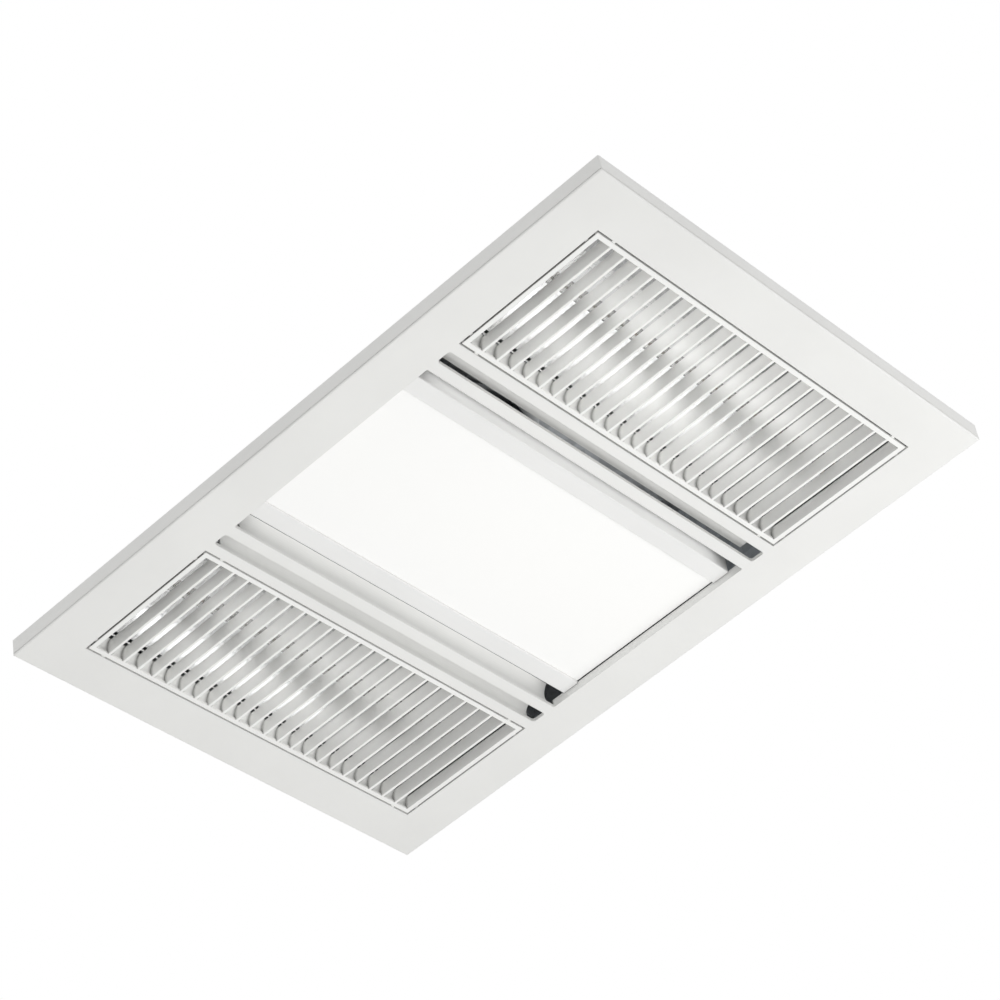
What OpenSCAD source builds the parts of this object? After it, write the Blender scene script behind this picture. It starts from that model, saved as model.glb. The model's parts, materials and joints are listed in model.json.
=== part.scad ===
// Ceiling bathroom heater with an exhaust fan and a light panel, in millimetres.
// X runs across the two heaters, Y runs along the light, and Z points up.
// Z = 0 is the underside of the ceiling. The fascia hangs below it, and the rest is above it.

/* [Fascia] */
// Width of the fascia across both heaters
fascia_w = 590; // [570:1:620]
// Length of the fascia along the light
fascia_l = 403; // [380:1:440]
// Height of the rim below the ceiling
fascia_h = 14.5; // [13:0.5:18]
// Thickness of the rim's wall
fascia_wall = 2.2; // [1.6:0.1:3]
// Thickness of the face plate
face_t = 3; // [2.4:0.1:3.6]
// Rounding of the outer edges
fascia_edge_r = 1.2; // [0.6:0.1:1.8]
// Width of the groove round the rim, above the face
rim_groove_w = 0.6; // [0.4:0.1:1]
// Depth of that groove
rim_groove_d = 0.5; // [0.3:0.1:0.8]
// Border outside a louvre opening
border_side = 37.5; // [34:0.5:42]
// Border past the ends of the openings
border_end = 36.75; // [34:0.25:42]
// Width of the middle opening
light_open_w = 194; // [186:1:204]
// Width of the bar beside the middle opening
bar_w = 9.5; // [8:0.5:12]
// Width of an air slot
slot_w = 12; // [9:0.5:14]
// Corner radius of an air slot
slot_r = 2.5; // [1:0.1:4]
// Width of the strip between a slot and a louvre opening
strip_w = 9; // [8:0.5:12]
// Depth of the collar at the ends of the middle opening
collar_h = 7.2; // [6:0.1:7.4]
// Thickness of the collar and of the ribs behind the face
rib_t = 1.5; // [1:0.1:2]
// Height of the ribs behind the face
rib_h = 5; // [3:0.5:7]
// Spacing of the short ribs inside the rim
rib_pitch = 60; // [45:1:90]

/* [Louvres] */
// Gap between an insert and its opening
louvre_gap = 1.6; // [1.2:0.1:2]
// Depth of an insert
louvre_h = 12.6; // [11:0.2:13]
// Width of the insert's border at the sides
louvre_side = 3.7; // [3.4:0.1:5]
// Width of the insert's border at the ends
louvre_end = 3.8; // [3:0.1:5]
// Height of the insert's end walls
louvre_end_h = 10.8; // [9:0.1:12]
// Thickness of the border
louvre_border_t = 2; // [1.6:0.1:2.6]
// Thickness of the insert's walls
louvre_wall = 1.6; // [1.2:0.1:2]
// Number of blades in an insert
blade_count = 22; // [16:1:26]
// Thickness of a blade
blade_t = 2.2; // [1.6:0.1:3]
// Depth of a blade
blade_h = 11.5; // [9:0.1:12.5]
// Rounding of a blade's lower edges
blade_r = 0.45; // [0.2:0.05:0.7]
// How far the side walls lean in at the top
cove_lean = 3.5; // [2:0.1:4.5]
// How far the side walls bulge out at mid height
cove_bulge = 2.6; // [1:0.1:3]
// Width of a holding nib
nib_w = 3; // [2:0.1:5]
// How far a nib hooks over the back of the face
nib_hook = 2; // [1:0.1:2.6]
// Thickness of the nib's hook
nib_t = 1.5; // [1:0.1:2]
// Depth of a nib below the face
nib_sink = 0.8; // [0.4:0.1:1.2]
// Distance of the end nibs from the insert's corner
nib_end_in = 9.5; // [7:0.5:20]
// Distance of the side nibs from the insert's corner
nib_side_in = 15; // [8:0.5:30]

/* [Air guides] */
// Length of the air guides
guide_l = 316; // [280:1:322]
// Thickness of the air guides
guide_t = 1.3; // [1:0.1:1.6]
// How far an air guide rises above the back of the face
guide_h = 10; // [8:0.5:11]
// How far an air guide leans over its slot before it runs flat
guide_lean = 8.5; // [7:0.5:9]
// How far an air guide bulges from its chord
guide_bulge = 3.6; // [3:0.1:4]
// Passage between an air guide and the bar's wall
guide_gap = 4; // [3:0.5:5]
// Width of an air guide's foot
guide_foot = 5; // [4:0.5:5.5]
// Height of the bar's wall above the back of the face
bar_wall_h = 16; // [12:0.5:20]
// How far the bar's wall leans towards the light at the top
bar_lean = 2.4; // [1:0.1:4]
// How far the bar's wall bulges away from the light
bar_bulge = 2.7; // [1:0.1:3]
// Thickness of the bar's wall
bar_wall_t = 1.4; // [1:0.1:1.8]
// Radius of the pins that hold an air guide
stake_r = 1.2; // [0.8:0.1:1.4]
// Pins along an air guide
stake_count = 5; // [3:1:7]

/* [Fascia hangers] */
// Distance of a hanger strip from the side of its louvre opening
hanger_in = 3.6; // [3.4:0.1:4]
// Width of a hanger strip
hanger_w = 12; // [8:0.5:16]
// Thickness of a hanger strip
hanger_t = 1.2; // [0.8:0.1:1.5]
// Length of a hanger strip's foot
hanger_foot = 14; // [8:0.5:16]
// How far the fascia can be pulled down
hanger_travel = 50; // [30:1:54]
// Distance of the hangers from the middle, along the light
hanger_y = 110; // [80:1:130]
// Height of a hanger's guide
hanger_guide_h = 6; // [4:0.5:8]
// Height of a hanger's guide above the ceiling
hanger_guide_z = 8; // [6:0.5:10]
// Clearance round a hanger strip in its guide
hanger_clear = 0.35; // [0.3:0.05:0.5]
// How far a hanger's top hook reaches over its guide
hanger_hook = 2; // [1.6:0.1:2.4]

/* [Light] */
// Gap between the bar and the side of the light
light_gap = 12; // [9:0.5:14]
// Length of the light
light_l = 328; // [300:1:329]
// Depth of the light's face inside the fascia's face
light_sink = 5.5; // [4:0.1:7]
// Height of the light's side rails
rail_h = 15; // [13:0.5:18]
// Width of a side rail's face
rail_w = 15.3; // [12:0.1:18]
// Thickness of a side rail's walls
rail_t = 1.4; // [1:0.1:1.8]
// Rounding of a side rail's lower edges
rail_r = 1; // [0.5:0.1:1.3]
// Depth of the diffuser inside the rails' face
diffuser_sink = 2.3; // [1.8:0.1:3]
// Thickness of the diffuser
diffuser_t = 2; // [1.5:0.1:2.5]
// How far the diffuser's edges enter the rails
diffuser_tuck = 2.5; // [1.5:0.1:4]
// Clearance of the diffuser in the rails' grooves
diffuser_clear = 0.15; // [0.1:0.05:0.3]
// Thickness of the light's metal tray
tray_t = 1; // [0.8:0.1:1.4]
// Number of LED strips
led_strip_count = 3; // [2:1:4]
// Width of an LED strip
led_strip_w = 14; // [10:1:18]
// LEDs on a strip
led_count = 12; // [6:1:16]
// Length of the LED driver
driver_l = 130; // [100:1:150]
// Width of the LED driver
driver_w = 42; // [34:1:50]
// Height of the LED driver
driver_h = 17; // [12:1:20]
// Height of the posts that carry the light
post_h = 24; // [22:1:28]
// Radius of the posts that carry the light
post_r = 3.5; // [2.5:0.1:5]
// Distance of the posts from the middle, across the light
post_x = 60; // [45:1:70]
// Distance of the straps from the middle, along the light
strap_y = 112; // [90:1:130]
// Width of a strap
strap_w = 18; // [14:1:24]
// Thickness of a strap
strap_t = 1.5; // [1:0.1:2]
// Height of the tabs at a strap's ends
strap_tab_h = 14; // [10:1:18]

/* [Housing] */
// Thickness of the sheet metal
sheet = 0.8; // [0.6:0.1:1]
// Distance from a slot's outer side to the outside of the fan box
box_room = 5.5; // [4.5:0.1:6.5]
// Distance from a louvre opening to the outside of its heater box
heater_room = 10.5; // [10:0.5:12]
// Distance from the openings' ends to the outside of the boxes
end_room = 10.85; // [10:0.05:13]
// Height of the fan box above the ceiling
fan_box_h = 186; // [180:1:200]
// Height of the heater boxes above the ceiling
heater_box_h = 78; // [76:1:90]
// Height of the beads and panels raised in the sheet metal
bead_rise = 1.5; // [1:0.1:2.5]
// Width of a bead
bead_w = 9; // [7:0.5:12]
// Length of a bead on the fan box
bead_l = 110; // [80:1:116]
// Distance of the first bead from the middle, along the light
bead_y = 85; // [78:1:90]
// Spacing of the beads
bead_pitch = 25; // [18:1:28]
// Distance of a heater box's raised panel from the box's sides
panel_in = 20; // [15:1:30]
// Length of that panel
panel_l = 110; // [80:1:118]
// Thickness of the mounting frame
frame_t = 1.2; // [1:0.1:1.6]
// Width of the mounting frame's flange
flange_w = 15; // [13:0.5:16]
// Height of the mounting frame's upright
upright_h = 14; // [12:0.5:18]
// Clearance between the boxes and the mounting frame
frame_clear = 0.2; // [0.1:0.05:0.3]
// Radius of the mounting screws' holes
mount_hole_r = 2.5; // [2:0.1:3]
// Distance of the mounting screws from the outside of the frame's flange
mount_in = 7; // [6:0.5:8]
// Distance of the mounting screws from the middle, along the light
mount_y = 130; // [100:1:150]
// Radius of the rivets
rivet_r = 1.6; // [1.2:0.1:2]
// Clearance round a rivet or screw
hole_clear = 0.15; // [0.1:0.05:0.3]
// Distance of a rivet from the middle of its heater
rivet_x = 45; // [30:1:55]
// Length of a cooling slot in a heater box
vent_l = 22; // [14:1:28]
// Width of a cooling slot
vent_w = 4; // [3:0.5:5]
// Cooling slots in a row
vent_count = 9; // [5:1:12]
// Spacing of the cooling slots
vent_pitch = 12; // [9:0.5:14]

/* [Heaters] */
// Distance of a reflector's mouth from the sides of its louvre opening
reflector_in = 4; // [3:0.5:6]
// Half width of a reflector's flat crown
crown_half = 7; // [6:0.5:10]
// Height of a reflector from its mouth to its crown
reflector_h = 36.45; // [30:0.05:38]
// Thickness of a reflector
reflector_t = 0.8; // [0.6:0.1:1.2]
// Height of a reflector's mouth above the ceiling
reflector_z = 8; // [6:0.5:10]
// Length of a reflector
reflector_l = 320; // [300:1:322]
// Gap between a heating tube and its notch in a reflector's end
notch_gap = 2; // [1:0.5:3]
// Facets along half of a reflector's curve
reflector_steps = 14; // [8:1:20]
// Length of a slot in a reflector's side
side_slot_l = 9.5; // [6:0.5:11]
// Height of a slot in a reflector's side
side_slot_h = 2.2; // [1.5:0.1:3]
// How far those slots stand above the reflector's mouth
side_slot_up = 1; // [0.8:0.1:1.5]
// How far those slots lie before the blades, along the light
side_slot_shift = 3.6; // [0:0.1:6]
// Height of the heating tube's axis above the ceiling
tube_z = 17; // [15:0.5:19]
// Outer radius of a heating tube
tube_r = 5.5; // [4.5:0.1:6.5]
// Wall of a heating tube
tube_wall = 1.1; // [0.8:0.1:1.4]
// Radius of the heating element
element_r = 1.2; // [0.8:0.1:2]
// Width of a ceramic cap
cap_w = 16; // [15:0.5:18]
// Height of a ceramic cap
cap_h = 14; // [13.6:0.2:17]
// Length of a ceramic cap
cap_l = 12; // [9:0.5:13]
// Depth that a tube enters its cap
cap_bore_l = 6; // [4:0.5:8]
// Clearance round a tube in its cap
cap_clear = 0.2; // [0.1:0.05:0.4]
// Thickness of a cap's clip
clip_t = 1.2; // [0.8:0.1:1.5]
// Radius of the posts that hang a reflector
stay_r = 3; // [2:0.1:5]
// Distance of those posts from the middle, along the light
stay_y = 105; // [80:1:130]
// Radius of a thermal cut-out
cutout_r = 8; // [5:0.5:9]
// Height of a thermal cut-out
cutout_h = 7; // [5:0.5:10]
// Distance of a thermal cut-out from the middle, along the light
cutout_y = 40; // [20:1:70]

/* [Fan] */
// Height of the fan chamber, from its floor to the top of the fan box
chamber_h = 98; // [94:1:104]
// Distance of the fan's axis from the middle, along the light
fan_in = 22; // [10:1:26]
// Outer radius of the fan wheel
wheel_r = 70; // [66:0.5:72]
// Height of the fan wheel
wheel_h = 64; // [56:1:68]
// Height of the wheel above the fan chamber's floor
wheel_lift = 5; // [4:0.5:8]
// Number of blades on the wheel
wheel_blades = 34; // [24:1:40]
// Width of the ring of blades
wheel_band = 12; // [9:0.5:14]
// Thickness of a wheel blade
wheel_blade_t = 1.1; // [0.8:0.1:1.4]
// Thickness of the wheel's rings
wheel_ring_t = 2; // [1.5:0.1:3]
// How far the wheel's rings reach past its blades
wheel_rim = 0.8; // [0.5:0.1:1.2]
// Radius of the wheel's hub
hub_r = 12; // [10:0.5:14]
// Height of the wheel's hub
hub_h = 18; // [12:0.5:22]
// Radius of the motor's shaft
shaft_r = 4; // [3:0.1:5]
// Height of the wheel's nut
nut_h = 6; // [5:0.5:8]
// Across the corners, half the width of the wheel's nut
nut_r = 7.5; // [6.5:0.1:9]
// Height of the inlet ring
inlet_h = 11; // [9:0.5:13]
// Running gap between the inlet ring and the wheel
inlet_gap = 3; // [2:0.5:5]
// Flare of the inlet ring
inlet_flare = 9; // [6:0.5:11]
// Thickness of the inlet ring
inlet_t = 1.2; // [1:0.1:1.6]
// Gap between the wheel and the scroll's tongue
tongue_gap = 5; // [4:0.5:8]
// Angle of the scroll's tongue round the axis
tongue_a = 65; // [58:1:70]
// Radius at which the scroll ends
scroll_end_r = 115; // [110:1:118]
// Width of the scroll's outlet
outlet_w = 100; // [97:1:102]
// Thickness of the scroll's wall
scroll_t = 1; // [0.8:0.1:1.4]
// Radius of the motor
motor_r = 44; // [36:0.5:46]
// Height of the motor's top above the fan box
motor_top = 20; // [14:1:28]
// Gap between the motor and the wheel
motor_gap = 4; // [3:0.5:6]
// Rounding of the motor's top edge
motor_edge_r = 7; // [4:0.5:9]
// Width of the motor's flange
motor_flange = 3; // [2:0.5:3.5]
// Width of the motor's mounting plate
motor_plate_w = 12; // [11:0.5:15]
// Thickness of the motor's mounting plate
motor_plate_t = 1.5; // [1:0.1:2]
// Outer radius of the motor's bearing
bearing_r = 11; // [9:0.5:13]
// Height of the motor's bearing
bearing_h = 7; // [5:0.5:9]
// Running clearance round the shaft
shaft_clear = 0.15; // [0.1:0.05:0.3]
// Radius of the fan screws
screw_r = 2; // [1.5:0.1:2.2]

/* [Duct] */
// Inner radius of the round outlet
duct_r = 47; // [46:0.5:48]
// Wall of the round outlet
duct_wall = 2; // [1.6:0.1:2.6]
// Length of the round outlet outside its flange
duct_l = 58; // [50:1:80]
// Thickness of the outlet's flange
duct_flange_t = 3; // [2.4:0.1:4]
// Width of the flange at each side of the round outlet
duct_flange_side = 11; // [9:0.5:12]
// Distance of the flange's screws from its upper and lower edges
duct_screw_in = 6; // [5:0.5:8]
// Distance of the flange's screws from the scroll's walls
duct_screw_clear = 2; // [1.5:0.5:4]
// Thickness of the gasket behind the flange
gasket_t = 1.5; // [1:0.1:2]
// Width of the seat that the flap closes on
seat_w = 12; // [9:0.5:14]
// Distance of the seat from the flange
seat_in = 6; // [4:0.5:10]
// Radius of the flap
flap_r = 37; // [36.5:0.25:37.5]
// Thickness of the flap
flap_t = 1.2; // [1:0.1:1.5]
// Width of the flap's rim, which meets the seat
flap_rim = 1.6; // [1.2:0.1:2]
// How far the flap's disc lies outside the pin's axis
flap_set = 0.6; // [0.4:0.1:1]
// Height of the flap's pin above the outlet's axis
pin_up = 39.5; // [39:0.25:40]
// Radius of the flap's pin
pin_r = 1.4; // [1:0.1:1.5]
// Radius of the sleeve round the pin
sleeve_r = 2.6; // [2.4:0.1:2.8]
// Length of the sleeve
sleeve_l = 30; // [20:1:32]
// Clearance of the sleeve round the pin
pin_clear = 0.25; // [0.2:0.05:0.3]

/* [Electrics] */
// Length of the wiring box
term_l = 120; // [100:1:140]
// Width of the wiring box
term_w = 90; // [80:1:110]
// Height of the wiring box's base
term_h = 30; // [28:1:40]
// Wall of the wiring box
term_wall = 2; // [1.5:0.1:2.5]
// Thickness of the wiring box's lid
lid_t = 2.4; // [2:0.1:3]
// Distance of the lid's raised panel from its edges
lid_panel_in = 12; // [10:0.5:16]
// Length of the lid's screws below the lid
lid_screw_l = 8; // [5:0.5:10]
// Distance of the wiring box from the middle, along the light
term_y = 95; // [80:1:100]
// Radius of the cable gland's bore
gland_r = 4.5; // [3.5:0.1:6]
// Radius of the cable gland's thread
gland_thread_r = 9; // [8:0.5:10]
// Radius of the capacitor
cap_can_r = 16; // [12:0.5:20]
// Length of the capacitor
cap_can_l = 62; // [50:1:80]
// Width of the capacitor's clip
cap_clip_w = 16; // [10:1:24]

/* [Hidden] */
$fn = 48;

// A little more than a wall, so that a cut passes right through it
cut = 1;

// Heights
face_z = -fascia_h;
plate_z = face_z + face_t;
light_z = face_z + light_sink;
rail_top_z = light_z + rail_h;
tray_top_z = rail_top_z + tray_t;
strap_z = tray_top_z + post_h;

// Places across the face, from the middle outwards
bar_x = light_open_w / 2;
slot_in_x = bar_x + bar_w;
slot_out_x = slot_in_x + slot_w;
grille_in_x = slot_out_x + strip_w;
grille_out_x = fascia_w / 2 - border_side;
grille_x = (grille_in_x + grille_out_x) / 2;
grille_w = grille_out_x - grille_in_x;
open_l = fascia_l - 2 * border_end;
slot_x = (slot_in_x + slot_out_x) / 2;

// Louvre inserts
louvre_w = grille_w - 2 * louvre_gap;
louvre_l = open_l - 2 * louvre_gap;
cell_x = louvre_w / 2 - louvre_side;
cell_y = louvre_l / 2 - louvre_end;
blade_pitch = (2 * cell_y + blade_t) / (blade_count + 1);
cove_foot = [cell_x, 0];
cove_top = [cell_x - cove_lean, louvre_h];

// Boxes
box_y = open_l / 2 + end_room;
fan_box_x = slot_out_x + box_room;
heater_out_x = grille_out_x + heater_room;
heater_box_w = heater_out_x - fan_box_x;
heater_box_x = (heater_out_x + fan_box_x) / 2;
box_z = -frame_t;
frame_in_x = heater_out_x + frame_clear;
frame_in_y = box_y + frame_clear;
frame_x = frame_in_x + frame_t + flange_w;
frame_y = frame_in_y + frame_t + flange_w;
rivet_z = upright_h / 2;

// Light
light_x = bar_x - light_gap;
diffuser_x = light_x - rail_w;
diffuser_z = light_z + diffuser_sink;

// Hangers
hanger_x = grille_out_x + hanger_in;
hanger_top_z = hanger_guide_z + hanger_guide_h + hanger_travel;

// Heaters
reflector_half = grille_w / 2 - reflector_in;
crown_z = reflector_z + reflector_h;
bracket_y = box_y - sheet;
cap_in_y = bracket_y - clip_t - cap_l;
tube_l = 2 * (cap_in_y + cap_bore_l);

// Fan
fan_y = -fan_in;
floor_z = fan_box_h - chamber_h;
chamber_z = floor_z + sheet;
chamber_top_z = fan_box_h - sheet;
wheel_z = chamber_z + wheel_lift;
wheel_top_z = wheel_z + wheel_h;
blade_in_r = wheel_r - wheel_band;
wheel_out_r = wheel_r + wheel_blade_t + wheel_rim;
throat_r = blade_in_r - wheel_rim - inlet_gap;
tongue_r = wheel_out_r + tongue_gap;
motor_z = wheel_top_z + motor_gap;
motor_flange_z = fan_box_h + motor_plate_t;
motor_top_z = fan_box_h + motor_top;
plate_in_r = motor_r + 2 * hole_clear;
plate_out_r = motor_r + motor_plate_w;
plate_screw_r = motor_r + (motor_plate_w + motor_flange) / 2;
shaft_top_z = motor_top_z - motor_edge_r;
hub_z = wheel_top_z - hub_h;
nut_z = hub_z - nut_h;
shaft_z = nut_z - 2;

// Duct
duct_x = scroll_end_r - outlet_w / 2;
duct_z = (chamber_z + chamber_top_z) / 2;
duct_hole_r = duct_r - 1;
flange_y = box_y + gasket_t;
duct_flange_w = 2 * (duct_r + duct_flange_side);
duct_flange_h = 2 * duct_r + 2 * duct_wall;
duct_screw_x = outlet_w / 2 - screw_r - duct_screw_clear;
duct_screw_z = duct_flange_h / 2 - duct_screw_in;
seat_y = flange_y + seat_in;
seat_t = 2;
flap_gap = 0.3;
flap_y = seat_y + seat_t + flap_gap;
pin_y = flap_y + sleeve_r;
disc_y = pin_y + flap_set;
pin_inset = 0.3;
pin_l = 2 * sqrt(pow(duct_r + duct_wall, 2) - pow(pin_up + pin_r, 2)) - 2 * pin_inset;

// Electrics
gland_z = heater_box_h + term_h / 2;

// Reverses a list of points
function turned(p) = [for (i = [len(p) - 1 : -1 : 0]) p[i]];

// Points on an arc from a to b that bulges by s to the right of the way from a to b,
// moved outwards by extra
function arc_points(a, b, s, extra = 0, n = 10) =
    let (
        dx = b[0] - a[0],
        dy = b[1] - a[1],
        c = norm([dx, dy]),
        r = c * c / (8 * s) + s / 2,
        mx = (a[0] + b[0]) / 2 - dy / c * (r - s),
        my = (a[1] + b[1]) / 2 + dx / c * (r - s),
        start = atan2(a[1] - my, a[0] - mx),
        sweep = 2 * asin(c / (2 * r))
    )
    [for (i = [0 : n]) [
        mx + (r + extra) * cos(start + sweep * i / n),
        my + (r + extra) * sin(start + sweep * i / n)
    ]];

// Outline of a curved wall of thickness t
function curved_wall(a, b, s, t, n = 10) =
    concat(arc_points(a, b, s, 0, n), turned(arc_points(a, b, s, t, n)));

// Height of a reflector's curve above its mouth, at x from its middle
function reflector_rise(x) =
    reflector_h * (1 - pow(max(0, abs(x) - crown_half) / (reflector_half - crown_half), 2));

// Radius of the scroll's wall at angle a round the fan's axis
function scroll_r(a) = tongue_r + (scroll_end_r - tongue_r) * (a - tongue_a) / (360 - tongue_a);

// A section in x and z, run along y about the middle
module along_y(l) {
    rotate([90, 0, 0])
        linear_extrude(l, center = true)
            children();
}

// A section in y and z, run along x about the middle
module along_x(l) {
    rotate([90, 0, 90])
        linear_extrude(l, center = true)
            children();
}

// Copies on the right and, mirrored, on the left
module both_sides() {
    for (s = [0, 1])
        mirror([s, 0, 0])
            children();
}

// Copies at both ends of the light
module both_ends() {
    for (s = [0, 1])
        mirror([0, s, 0])
            children();
}

// A rectangle with round corners, about the middle
module rounded_rect(w, l, r) {
    square([w - 2 * r, l], center = true);
    square([w, l - 2 * r], center = true);
    for (sx = [-1, 1], sy = [-1, 1])
        translate([sx * (w / 2 - r), sy * (l / 2 - r)])
            circle(r);
}

// A section of width w that stands on y = 0 and has round lower corners
module lower_rounded(w, h, r) {
    translate([-w / 2, r])
        square([w, h - r]);
    translate([-w / 2 + r, 0])
        square([w - 2 * r, r + cut / 2]);
    for (s = [-1, 1])
        translate([s * (w / 2 - r), r])
            circle(r);
}

// A centred block that stands on z
module block(w, l, h, z = 0) {
    translate([-w / 2, -l / 2, z])
        cube([w, l, h]);
}

// A screw whose head stands on z = 0 and whose shank points down
module pan_screw(shank_l, r = screw_r) {
    cylinder(r = 2 * r, h = r);
    translate([0, 0, -shank_l])
        cylinder(r = r, h = shank_l + r / 2);
}

// The solid that the fascia is hollowed from: lower edges and corners rounded
module fascia_blank() {
    intersection() {
        translate([0, 0, face_z])
            linear_extrude(fascia_h)
                rounded_rect(fascia_w, fascia_l, fascia_edge_r);
        translate([0, 0, face_z])
            along_y(fascia_l + cut)
                lower_rounded(fascia_w, fascia_h, fascia_edge_r);
        translate([0, 0, face_z])
            along_x(fascia_w + cut)
                lower_rounded(fascia_l, fascia_h, fascia_edge_r);
    }
}

// The openings in the face, in plan
module face_openings() {
    rounded_rect(light_open_w, open_l, slot_r / 2);
    for (s = [-1, 1]) {
        translate([s * slot_x, 0])
            rounded_rect(slot_w, open_l, slot_r);
        translate([s * grille_x, 0])
            square([grille_w, open_l], center = true);
    }
}

// The groove round the rim
module rim_groove() {
    groove_z = face_z + fascia_edge_r;
    difference() {
        block(fascia_w + cut, fascia_l + cut, rim_groove_w, groove_z);
        block(fascia_w - 2 * rim_groove_d, fascia_l - 2 * rim_groove_d, rim_groove_w + 2 * cut, groove_z - cut);
    }
}

// Ribs inside the rim, clear of the hangers' feet
module rim_ribs() {
    long_x = fascia_w / 2 - border_side / 3;
    long_y = fascia_l / 2 - border_end / 2;
    rib_z = plate_z - rib_t;
    for (s = [-1, 1]) {
        translate([s * long_x, 0, 0])
            block(rib_t, 2 * long_y + rib_t, rib_h + rib_t, rib_z);
        translate([0, s * long_y, 0])
            block(2 * long_x + rib_t, rib_t, rib_h + rib_t, rib_z);
    }
    rows = floor(long_y / rib_pitch);
    for (s = [-1, 1], i = [-rows : rows])
        translate([s * (long_x + fascia_w / 2 - fascia_wall) / 2, i * rib_pitch, 0])
            block(fascia_w / 2 - long_x - fascia_wall + rib_t, rib_t, rib_h + rib_t, rib_z);
    columns = floor(long_x / rib_pitch);
    for (s = [-1, 1], i = [-columns : columns])
        translate([i * rib_pitch, s * (long_y + fascia_l / 2 - fascia_wall) / 2, 0])
            block(rib_t, fascia_l / 2 - long_y - fascia_wall + rib_t, rib_h + rib_t, rib_z);
}

// Places of the pins along an air guide
function stake_y(i) = (i - (stake_count - 1) / 2) * guide_l / stake_count;
stake_x = slot_out_x + guide_foot / 2 + guide_t / 2;

module fascia_panel() {
    wall_foot = [bar_x, plate_z - rib_t / 2];
    wall_top = [bar_x - bar_lean, plate_z + bar_wall_h];
    color("white") {
        difference() {
            fascia_blank();
            rim_groove();
            block(fascia_w - 2 * fascia_wall, fascia_l - 2 * fascia_wall, fascia_h, plate_z);
            translate([0, 0, face_z - cut])
                linear_extrude(face_t + 2 * cut)
                    face_openings();
        }
        rim_ribs();
        // The curved walls that rise from the bars beside the light
        both_sides()
            along_y(guide_l)
                polygon(curved_wall(wall_foot, wall_top, bar_bulge, bar_wall_t));
        // The collars at the ends of the middle opening
        both_ends()
            translate([0, open_l / 2 + rib_t / 2, 0])
                block(light_open_w, rib_t, collar_h - rib_t, face_z + rib_t);
        // The pins that hold the air guides
        both_sides()
            for (i = [0 : stake_count - 1])
                translate([stake_x, stake_y(i), plate_z - rib_t])
                    cylinder(r = stake_r, h = rib_t + 2 * guide_t);
    }
}

// Half of an insert's section: one side wall with its border
module louvre_side_section() {
    intersection() {
        union() {
            polygon(curved_wall(cove_foot, cove_top, cove_bulge, louvre_wall));
            translate([cell_x, 0])
                square([louvre_side, louvre_border_t]);
        }
        square([louvre_w / 2, louvre_h]);
    }
}

// The space between the side walls, and half of their thickness
module louvre_core_section() {
    side = arc_points(cove_foot, cove_top, cove_bulge, louvre_wall / 2);
    intersection() {
        polygon(concat(side, turned([for (p = side) [-p[0], p[1]]])));
        translate([-louvre_w / 2, 0])
            square([louvre_w, louvre_h]);
    }
}

// A nib that points along +x from the edge of an insert
module nib() {
    bridge_h = face_t + nib_t - nib_sink;
    translate([-louvre_border_t, -nib_w / 2, nib_sink])
        cube([louvre_border_t + louvre_gap, nib_w, bridge_h]);
    translate([0, -nib_w / 2, face_t])
        cube([louvre_gap + nib_hook, nib_w, nib_t]);
}

module louvre_insert() {
    end_wall_y = cell_y + louvre_wall / 2;
    color("whitesmoke")
        translate([grille_x, 0, face_z]) {
            both_sides()
                along_y(louvre_l)
                    louvre_side_section();
            both_ends()
                translate([0, louvre_l / 2 - louvre_end / 2, 0])
                    block(louvre_w - louvre_side, louvre_end, louvre_border_t);
            intersection() {
                along_y(louvre_l - louvre_end)
                    louvre_core_section();
                union() {
                    both_ends()
                        translate([0, end_wall_y, 0])
                            block(louvre_w, louvre_wall, louvre_end_h);
                    for (i = [0 : blade_count - 1])
                        translate([0, (i - (blade_count - 1) / 2) * blade_pitch, 0])
                            along_x(louvre_w)
                                lower_rounded(blade_t, blade_h, blade_r);
                }
            }
            for (sy = [-1, 1]) {
                for (a = [0, 180])
                    rotate([0, 0, a])
                        translate([louvre_w / 2, sy * (louvre_l / 2 - nib_side_in), 0])
                            nib();
                for (sx = [-1, 1])
                    translate([sx * (louvre_w / 2 - nib_end_in), sy * louvre_l / 2, 0])
                        rotate([0, 0, 90 * sy])
                            nib();
            }
        }
}

module louvre_right() louvre_insert();

module louvre_left() {
    mirror([1, 0, 0])
        louvre_insert();
}

// Outline of an air guide: a foot on the face, a wall that curves over the slot, and a flat roof
function air_guide_points() =
    let (
        foot = [slot_out_x, plate_z],
        lip = [slot_out_x - guide_lean, plate_z + guide_h],
        roof_x = bar_x + bar_bulge - bar_lean / 2 + bar_wall_t + guide_gap,
        foot_x = slot_out_x + guide_foot + guide_t,
        outside = [for (p = arc_points(foot, lip, guide_bulge, guide_t)) if (p[1] > plate_z + guide_t) p]
    )
    concat(
        arc_points(foot, lip, guide_bulge),
        [[roof_x, lip[1]], [roof_x, lip[1] + guide_t]],
        turned(outside),
        [[foot_x, plate_z + guide_t], [foot_x, plate_z]]
    );

module air_guide() {
    color("white")
        difference() {
            along_y(guide_l)
                polygon(air_guide_points());
            for (i = [0 : stake_count - 1])
                translate([stake_x, stake_y(i), plate_z - cut])
                    cylinder(r = stake_r + hole_clear, h = guide_t + 2 * cut);
        }
}

module air_guide_right() air_guide();

module air_guide_left() {
    mirror([1, 0, 0])
        air_guide();
}

// The strips that the fascia hangs on when it is pulled down
module fascia_hangers() {
    strip_h = hanger_top_z - plate_z + 2 * hanger_t;
    color("lightsteelblue")
        both_sides()
            for (s = [-1, 1])
                translate([hanger_x, s * hanger_y - hanger_w / 2, plate_z]) {
                    cube([hanger_t, hanger_w, strip_h]);
                    cube([hanger_foot, hanger_w, hanger_t]);
                    translate([-hanger_hook, 0, strip_h - hanger_t])
                        cube([hanger_hook + hanger_t, hanger_w, hanger_t]);
                }
}

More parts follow.
